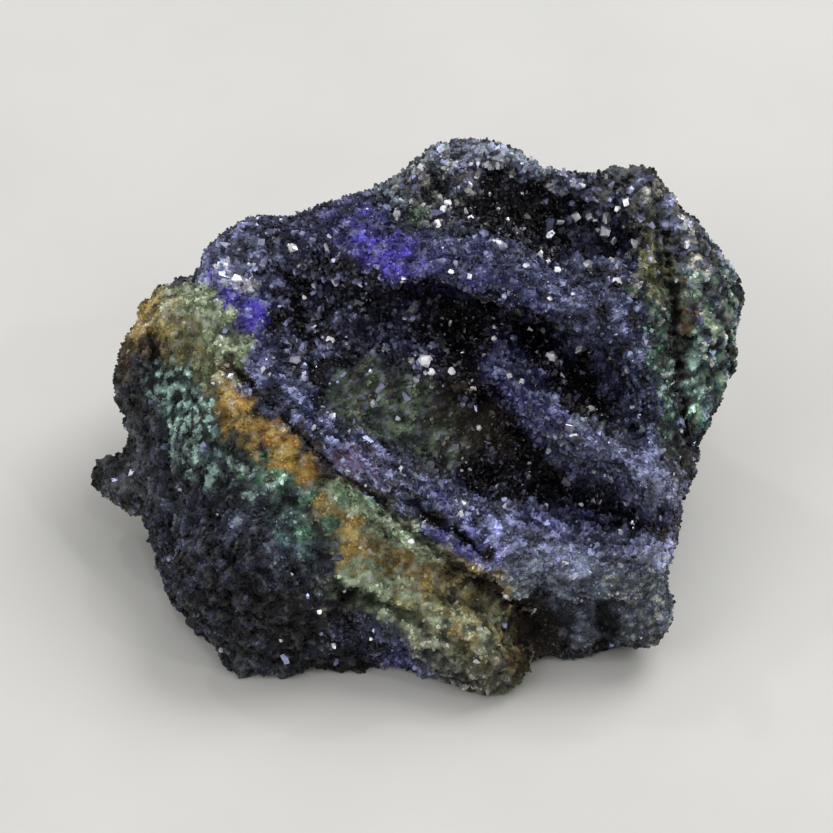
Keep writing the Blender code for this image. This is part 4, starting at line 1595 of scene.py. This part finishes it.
@dataclass
class Ground:
    """The body's surface as arrays, for crystals to be sown on."""

    points: Array
    normals: Array
    triangles: Array
    layers: dict[str, Array]
    tints: Array
    areas: Array = field(init=False)

    def __post_init__(self) -> None:
        """Measures the triangles, in square millimetres."""
        a, b, c = (self.points[self.triangles[:, i]] for i in range(3))
        self.areas = np.linalg.norm(np.cross(b - a, c - a), axis=1) / 2

    @classmethod
    def of(cls, body: StoneBody) -> "Ground":
        """The ground that a finished body gives."""
        mesh = body.obj.data
        mesh.calc_loop_triangles()
        triangles = np.empty(len(mesh.loop_triangles) * 3, np.int32)
        mesh.loop_triangles.foreach_get("vertices", triangles)
        points = points_of(mesh)
        bulk = evened(mesh, points, 3)
        normals = evened(mesh, normals_of(mesh), 3)
        normals /= np.linalg.norm(normals, axis=1)[:, None]
        roots = 0.6 * points + 0.4 * bulk
        return cls(roots, normals, triangles.reshape(-1, 3), body.layers, body.tints)

    def mean(self, layer: Array) -> Array:
        """A layer's mean over each triangle."""
        return layer[self.triangles].mean(axis=1)


@dataclass
class Sowing:
    """Where each crystal of a crop grows, and how it looks, as arrays of one row each."""

    roots: Array
    ways: Array
    sizes: Array
    tones: Array
    tints: Array


@dataclass(kw_only=True)
class Crop:
    """Crystals or grains of one kind that stand on the ground, joined in one piece."""

    name: str
    habits: tuple[Habit, ...]
    lean_degrees: float
    finish: GrainFinish
    seed: int
    girth: tuple[float, float] = (0.8, 1.3)
    lowest: float = 0.03
    box_slack: float = 0.35

    def build(self, ground: Ground, mould: Mould, effects: Effects) -> bpy.types.Object:
        """Sows the crop and dresses it.

        Args:
            ground: What it grows on.
            mould: What models its shapes.
            effects: The shared node groups.

        Returns:
            The finished piece.
        """
        draw = np.random.default_rng(self.seed)
        forms = [form for habit in self.habits for form in mould.forms(habit)]
        piece = self.joined(forms, self.sown(ground, draw), draw)
        piece.data.materials.append(self.finish.material(self.name, effects))
        dress(piece)
        log.info("%s: %d triangles", piece.name, len(piece.data.polygons))
        return piece

    def sown(self, ground: Ground, draw: np.random.Generator) -> Sowing:
        """Where each crystal grows and how it looks, which each kind of crop settles itself."""
        raise NotImplementedError

    def joined(
        self, forms: Sequence[Form], sowing: Sowing, draw: np.random.Generator
    ) -> bpy.types.Object:
        """Copies the forms to their places, and joins them in one piece.

        Args:
            forms: The shapes to copy.
            sowing: Where each copy stands, and how it looks.
            draw: What picks each copy's form, turn, lean and girth.

        Returns:
            The joined piece.
        """
        count = len(sowing.roots)
        kinds = draw.integers(len(forms), size=count)
        lean = math.tan(math.radians(self.lean_degrees))
        ways = sowing.ways + lean * draw.normal(size=(count, 3)) / math.sqrt(3)
        turns = frames_along(ways, draw.uniform(0, math.tau, count))
        girths = draw.uniform(*self.girth, count)
        low, high = (np.array(corner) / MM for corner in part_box(CAD_NODE))
        low, high = low - self.box_slack, high + self.box_slack
        low[2] = self.lowest
        looks = np.column_stack((sowing.tints, sowing.tones))
        parts, faces, cells, kept = [], [], [], []
        start = 0
        side = math.ceil(math.sqrt(count))
        for index, form in enumerate(forms):
            mine = np.flatnonzero(kinds == index)
            scale = np.column_stack((girths[mine], girths[mine], np.ones(len(mine))))
            scale *= sowing.sizes[mine][:, None]
            local = form.points[None] * scale[:, None]
            placed = np.einsum("nij,nkj->nki", turns[mine], local) + sowing.roots[mine][:, None]
            inside = np.all((placed > low) & (placed < high), axis=(1, 2))
            mine, placed = mine[inside], placed[inside]
            firsts = start + np.arange(len(mine)) * len(form.points)
            faces.append((form.triangles[None] + firsts[:, None, None]).reshape(-1, 3))
            parts.append(placed.reshape(-1, 3))
            origin = np.column_stack((mine % side, mine // side))
            cells.append(((form.corners[None] * 0.8 + 0.1 + origin[:, None]) / side).reshape(-1, 2))
            kept.append(np.repeat(looks[mine], len(form.points), axis=0))
            start += len(mine) * len(form.points)
        return self.piece(*(np.concatenate(each) for each in (parts, faces, cells, kept)))

    def piece(self, points: Array, faces: Array, cells: Array, looks: Array) -> bpy.types.Object:
        """Makes the object from its arrays.

        Args:
            points: All points, in millimetres.
            faces: The triangles.
            cells: The place of each corner in the map.
            looks: The tint, as three numbers, and the tone of each point.

        Returns:
            The object, in the scene.
        """
        mesh = bpy.data.meshes.new(self.name)
        mesh.from_pydata(points * MM, [], faces)
        mesh.uv_layers.new(name=BAKE_MAP).uv.foreach_set("vector", cells.astype(np.float32).ravel())
        set_tints(mesh, looks[:, :3])
        set_layer(mesh, "tone", looks[:, 3])
        mesh.shade_flat()
        return in_scene(self.name, mesh)


@dataclass(kw_only=True)
class SownCrop(Crop):
    """A crop sown at random over the ground, in the ground's tint or its own."""

    cover: Callable[[Ground], Array]
    per_mm2: float
    sizes: tuple[float, float]
    tint: Tint | None = None
    skew: float = 1.6
    clumping: float = 0.55
    glint_share: float = 0.01
    glint_growth: float = 1.15

    def sown(self, ground: Ground, draw: np.random.Generator) -> Sowing:
        """Draws the crop's places at random, and a look for each."""
        expected = self.per_mm2 * ground.areas * self.cover(ground)
        count = int(round(expected.sum()))
        chosen = draw.choice(len(expected), size=count, p=expected / expected.sum())
        spread = np.sort(draw.random((count, 2)), axis=1)
        shares = np.column_stack((spread[:, 0], spread[:, 1] - spread[:, 0], 1 - spread[:, 1]))
        corners = ground.triangles[chosen]
        roots, ways, tints = (
            (values[corners] * shares[:, :, None]).sum(axis=1)
            for values in (ground.points, ground.normals, ground.tints)
        )
        if self.tint is not None:
            tints[:] = self.tint.value[:3]
        small, large = self.sizes
        sizes = small + (large - small) * draw.random(count) ** self.skew
        mottle = (ground.layers["mottle"][corners] * shares).sum(axis=1)
        tones = draw.random(count) * (1.0 - self.clumping) + mottle * self.clumping
        tones = np.clip(tones, 0.0, 0.999)
        # A few grains take the glint tone, which paints a highlight on them.
        glints = draw.random(count) < self.glint_share
        tones[glints] = GLINT_TONE
        sizes[glints] *= self.glint_growth
        return Sowing(roots, ways, sizes, tones, tints)


@dataclass(kw_only=True)
class PlacedCrop(Crop):
    """Single grains at given places on the open face, each given as (across, up, size)."""

    face: OpenFace = OpenFace()
    places: tuple[tuple[float, float, float], ...] = PALE_GRAINS_AND_GLINTS
    tint: Tint = Tint.FROST
    tones: tuple[float, float] = (0.6, 1.0)
    catch: float = 0.25
    # What each millimetre beyond the catch counts against a point of the ground.
    far: float = 100.0

    def sown(self, ground: Ground, draw: np.random.Generator) -> Sowing:
        """Puts each grain on the outermost point of the ground near its place."""
        flat = self.face.places(ground.points)
        out = ground.points @ self.face.out
        picked = []
        for across, up, _ in self.places:
            gaps = np.hypot(flat[:, 0] - across, flat[:, 1] - up)
            picked.append(int(np.argmax(out - self.far * np.maximum(gaps - self.catch, 0.0))))
        ways = ground.normals[picked] + self.face.out
        sizes = np.array([size for _, _, size in self.places])
        tones = draw.uniform(*self.tones, len(picked))
        tints = np.tile(np.array(self.tint.value[:3]), (len(picked), 1))
        return Sowing(ground.points[picked], ways, sizes, tones, tints)


def frames_along(ways: Array, spins: Array) -> Array:
    """Three axes for each way, the third along it, turned about it by a spin.

    Args:
        ways: Directions, of any length.
        spins: Angles in radians.

    Returns:
        One matrix for each way, with the axes as its columns.
    """
    ways = ways / np.linalg.norm(ways, axis=1)[:, None]
    helper = np.where(np.abs(ways[:, 2:]) < 0.9, (0.0, 0.0, 1.0), (1.0, 0.0, 0.0))
    side = np.cross(helper, ways)
    side /= np.linalg.norm(side, axis=1)[:, None]
    other = np.cross(ways, side)
    cos, sin = np.cos(spins)[:, None], np.sin(spins)[:, None]
    return np.stack((side * cos + other * sin, other * cos - side * sin, ways), axis=2)


def share_of(
    *minerals: Mineral, low: float = 0.3, high: float = 0.7, starry: bool = False
) -> Callable[[Ground], Array]:
    """How fully a crop covers each triangle, by how much of these minerals is there.

    Args:
        *minerals: What the crop grows on.
        low: The share of mineral at which it starts to grow.
        high: The share at which it is dense.
        starry: Whether it grows only where the starry layer says.

    Returns:
        What gives each triangle's cover, from 0 to 1.
    """

    def cover(ground: Ground) -> Array:
        """The cover of each triangle, from 0 to 1."""
        found = sum(ground.mean(ground.layers[m.layer]) for m in minerals)
        clear = 1.0 - ground.mean(ground.layers["cracked"])
        foot = smooth_step(ground.mean(ground.points[:, 2]) / 0.8)
        stars = ground.mean(ground.layers["starry"]) if starry else 1.0
        return smooth_step((found - low) / (high - low)) * clear * foot * stars

    return cover


@dataclass
class Lining:
    """Every crop on the stone, from the hollow's lining to the crust's grains."""

    ground: Ground
    mould: Mould = field(default_factory=Mould)

    def crops(self) -> tuple[Crop, ...]:
        """The crops, in the order that they are sown."""
        lavender, frost = linear(160, 158, 186), linear(238, 238, 244)
        sea, bone = linear(170, 196, 180), linear(190, 188, 166)
        blue_grey, pale_grey = linear(140, 142, 156), linear(150, 158, 168)
        return (
            SownCrop(
                name="azurite_druse",
                cover=share_of(Mineral.DRUSE),
                habits=(Habit.CHISEL, Habit.BLADE),
                finish=GrainFinish(
                    dim=0.2, bright=2.1, pale=lavender, paleness=0.35, roughness=0.16
                ),
                per_mm2=13.0,
                sizes=(0.16, 0.46),
                lean_degrees=36,
                seed=21,
                skew=2.2,
                glint_share=0.008,
            ),
            # Pale crystals strewn where the lining sparkles, partly painted glints.
            SownCrop(
                name="druse_stars",
                cover=share_of(*Mineral, starry=True),
                habits=(Habit.CRUMB, Habit.CHISEL),
                finish=GrainFinish(
                    dim=0.35,
                    bright=1.6,
                    pale=frost,
                    paleness=0.85,
                    roughness=0.2,
                    dusting=0.0,
                    metallic=0.6,
                ),
                per_mm2=0.85,
                sizes=(0.24, 0.62),
                lean_degrees=45,
                seed=31,
                tint=Tint.LAVENDER,
                clumping=0.2,
                glint_share=0.12,
            ),
            SownCrop(
                name="azurite_velvet",
                cover=share_of(Mineral.VELVET),
                habits=(Habit.CHISEL, Habit.GRAIN),
                finish=GrainFinish(
                    dim=0.22, bright=2.1, pale=lavender, paleness=0.5, roughness=0.36
                ),
                per_mm2=17.5,
                sizes=(0.13, 0.35),
                lean_degrees=38,
                seed=22,
                glint_share=0.007,
            ),
            SownCrop(
                name="crust_grains",
                cover=share_of(Mineral.CRUST),
                habits=(Habit.GRAIN,),
                finish=GrainFinish(
                    dim=0.2, bright=2.1, pale=blue_grey, paleness=0.3, roughness=0.5, specular=0.2
                ),
                per_mm2=10.0,
                sizes=(0.12, 0.36),
                lean_degrees=40,
                seed=23,
                glint_share=0.0015,
            ),
            SownCrop(
                name="nodule_grains",
                cover=share_of(Mineral.NODULE),
                habits=(Habit.GRAIN,),
                finish=GrainFinish(
                    dim=0.4, bright=2.2, pale=pale_grey, paleness=0.5, roughness=0.45
                ),
                per_mm2=20.0,
                sizes=(0.1, 0.25),
                lean_degrees=30,
                seed=27,
                glint_share=0.006,
            ),
            SownCrop(
                name="malachite_tufts",
                cover=share_of(Mineral.MALACHITE),
                habits=(Habit.TUFT, Habit.GRAIN),
                finish=GrainFinish(dim=0.35, bright=1.9, pale=sea, paleness=0.5, roughness=0.45),
                per_mm2=12.0,
                sizes=(0.14, 0.38),
                lean_degrees=35,
                seed=24,
                glint_share=0.004,
            ),
            SownCrop(
                name="limonite_crumbs",
                cover=share_of(Mineral.LIMONITE),
                habits=(Habit.GRAIN,),
                finish=GrainFinish(
                    dim=0.45, bright=1.75, pale=bone, paleness=0.3, roughness=0.75, specular=0.25
                ),
                per_mm2=12.0,
                sizes=(0.1, 0.28),
                lean_degrees=30,
                seed=25,
                glint_share=0.002,
            ),
            SownCrop(
                name="earth_crumbs",
                cover=share_of(Mineral.EARTH),
                habits=(Habit.GRAIN, Habit.CHISEL),
                finish=GrainFinish(
                    dim=0.35, bright=1.9, pale=bone, paleness=0.5, roughness=0.7, specular=0.3
                ),
                per_mm2=9.0,
                sizes=(0.1, 0.34),
                lean_degrees=40,
                seed=26,
                glint_share=0.004,
            ),
            # The pale grains, partly real grains and partly painted glints, painted brighter than white.
            PlacedCrop(
                name="pale_grains",
                habits=(Habit.CRUMB, Habit.CHISEL),
                finish=GrainFinish(
                    dim=1.0,
                    bright=1.5,
                    pale=frost,
                    paleness=0.2,
                    roughness=0.2,
                    specular=0.9,
                    dusting=0.0,
                ),
                lean_degrees=15,
                seed=41,
                girth=(0.65, 1.1),
            ),
        )

    def build(self, effects: Effects) -> None:
        """Sows and dresses every crop."""
        for crop in self.crops():
            crop.build(self.ground, self.mould, effects)


# ---------------------------------------------------------------- the studio


@dataclass(frozen=True)
class Lamp:
    """A soft square light that looks at the stone."""

    name: str
    place: tuple[float, float, float]
    size: float
    power: float


@dataclass
class Studio:
    """The pale bowl that the stone stands in, the lights and the camera."""

    bowl_radius: float = 1.4
    bowl_height: float = 1.0
    bowl_bend: float = 0.35
    bend_steps: int = 12
    sides: int = 96
    camera_distance: float = 0.6546
    camera_elevation: float = math.radians(43)
    target: tuple[float, float, float] = (0.0, 0.0, 0.0108)
    sensor: float = 36.0
    field_of_view: float = 0.0591
    fill: float = 0.7
    lamps: tuple[Lamp, ...] = (
        Lamp("key", (0.24, 0.16, 0.45), 0.32, 1.5),
        Lamp("side", (-0.32, -0.3, 0.35), 0.3, 0.5),
        Lamp("spark_right", (0.3, -0.2, 0.4), 0.03, 0.16),
        Lamp("spark_left", (-0.2, 0.25, 0.45), 0.03, 0.16),
        Lamp("spark_front", (0.05, -0.3, 0.5), 0.03, 0.12),
    )

    def build(self) -> None:
        """Makes the floor, the lights and the camera."""
        self.floor()
        for lamp in self.lamps:
            self.light(lamp)
        self.camera()
        world = bpy.data.worlds.new("studio")
        world.use_nodes = True
        background = world.node_tree.nodes["Background"]
        background.inputs["Color"].default_value = (1.0, 1.0, 1.0, 1.0)
        background.inputs["Strength"].default_value = self.fill
        bpy.context.scene.world = world
        bpy.context.scene.view_settings.view_transform = "Standard"

    def floor(self) -> None:
        """A round floor whose rim sweeps up, so that it fills the picture from any side."""
        bpy.ops.object.select_all(action="DESELECT")
        mesh = bmesh.new()
        flat = self.bowl_radius - self.bowl_bend
        profile = [(0.0, 0.0), (flat, 0.0)]
        for step in range(1, self.bend_steps + 1):
            turn = step / self.bend_steps * math.pi / 2
            profile.append((flat + self.bowl_bend * math.sin(turn), self.bowl_bend * (1 - math.cos(turn))))
        profile.append((self.bowl_radius, self.bowl_height))
        verts = [mesh.verts.new((x, 0.0, z)) for x, z in profile]
        edges = [mesh.edges.new(pair) for pair in zip(verts, verts[1:])]
        bmesh.ops.spin(
            mesh,
            geom=verts + edges,
            axis=(0, 0, 1),
            cent=(0, 0, 0),
            angle=math.tau,
            steps=self.sides,
            use_merge=True,
        )
        bmesh.ops.remove_doubles(mesh, verts=mesh.verts, dist=1e-5)
        bmesh.ops.recalc_face_normals(mesh, faces=mesh.faces)
        data = bpy.data.meshes.new("floor")
        mesh.to_mesh(data)
        mesh.free()
        data.shade_smooth()
        data.materials.append(self.plaster())
        in_scene("floor", data)

    def plaster(self) -> bpy.types.Material:
        """A pale, dull surface, very slightly uneven."""
        made, shader, surface = new_material("pale_plaster")
        tone = shader.ranged(shader.cloud(shader.place(), 18.0, 3.0), 0.3, 0.7)
        color = shader.blend(tone, linear(206, 205, 202), linear(210, 209, 206))
        shader.feed(surface.inputs["Base Color"], color)
        surface.inputs["Roughness"].default_value = 0.9
        surface.inputs["Specular IOR Level"].default_value = 0.2
        return made

    def light(self, lamp: Lamp) -> None:
        """Hangs one lamp, turned to the stone."""
        data = bpy.data.lights.new(lamp.name, "AREA")
        data.energy = lamp.power
        data.size = lamp.size
        self.aim(in_scene(lamp.name, data), Vector(lamp.place))

    def camera(self) -> None:
        """Sets the camera up in front of the open face."""
        data = bpy.data.cameras.new("camera")
        data.sensor_width = self.sensor
        data.lens = self.sensor * self.camera_distance / self.field_of_view
        data.clip_start = 0.01
        obj = in_scene("camera", data)
        back = Vector((0.0, -math.cos(self.camera_elevation), math.sin(self.camera_elevation)))
        self.aim(obj, back * self.camera_distance)
        bpy.context.scene.camera = obj

    def aim(self, obj: bpy.types.Object, place: Vector) -> None:
        """Puts a lamp or a camera at a place, turned to the stone."""
        way = Vector(self.target) - place
        obj.location = place
        obj.rotation_euler = way.to_track_quat("-Z", "Y").to_euler()


def main() -> None:
    """Builds the stone, its crystals and the studio."""
    logging.basicConfig(level=logging.INFO, format="%(name)s: %(message)s")
    noise.seed_set(NOISE_SEED)
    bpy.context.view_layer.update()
    effects = Effects()
    body = StoneBody(OpenFace())
    piece = body.build(effects, StoneFinish())
    log.info("%s: %d faces", piece.name, len(piece.data.polygons))
    Lining(Ground.of(body)).build(effects)
    Studio().build()


if __name__ == "__main__":
    main()
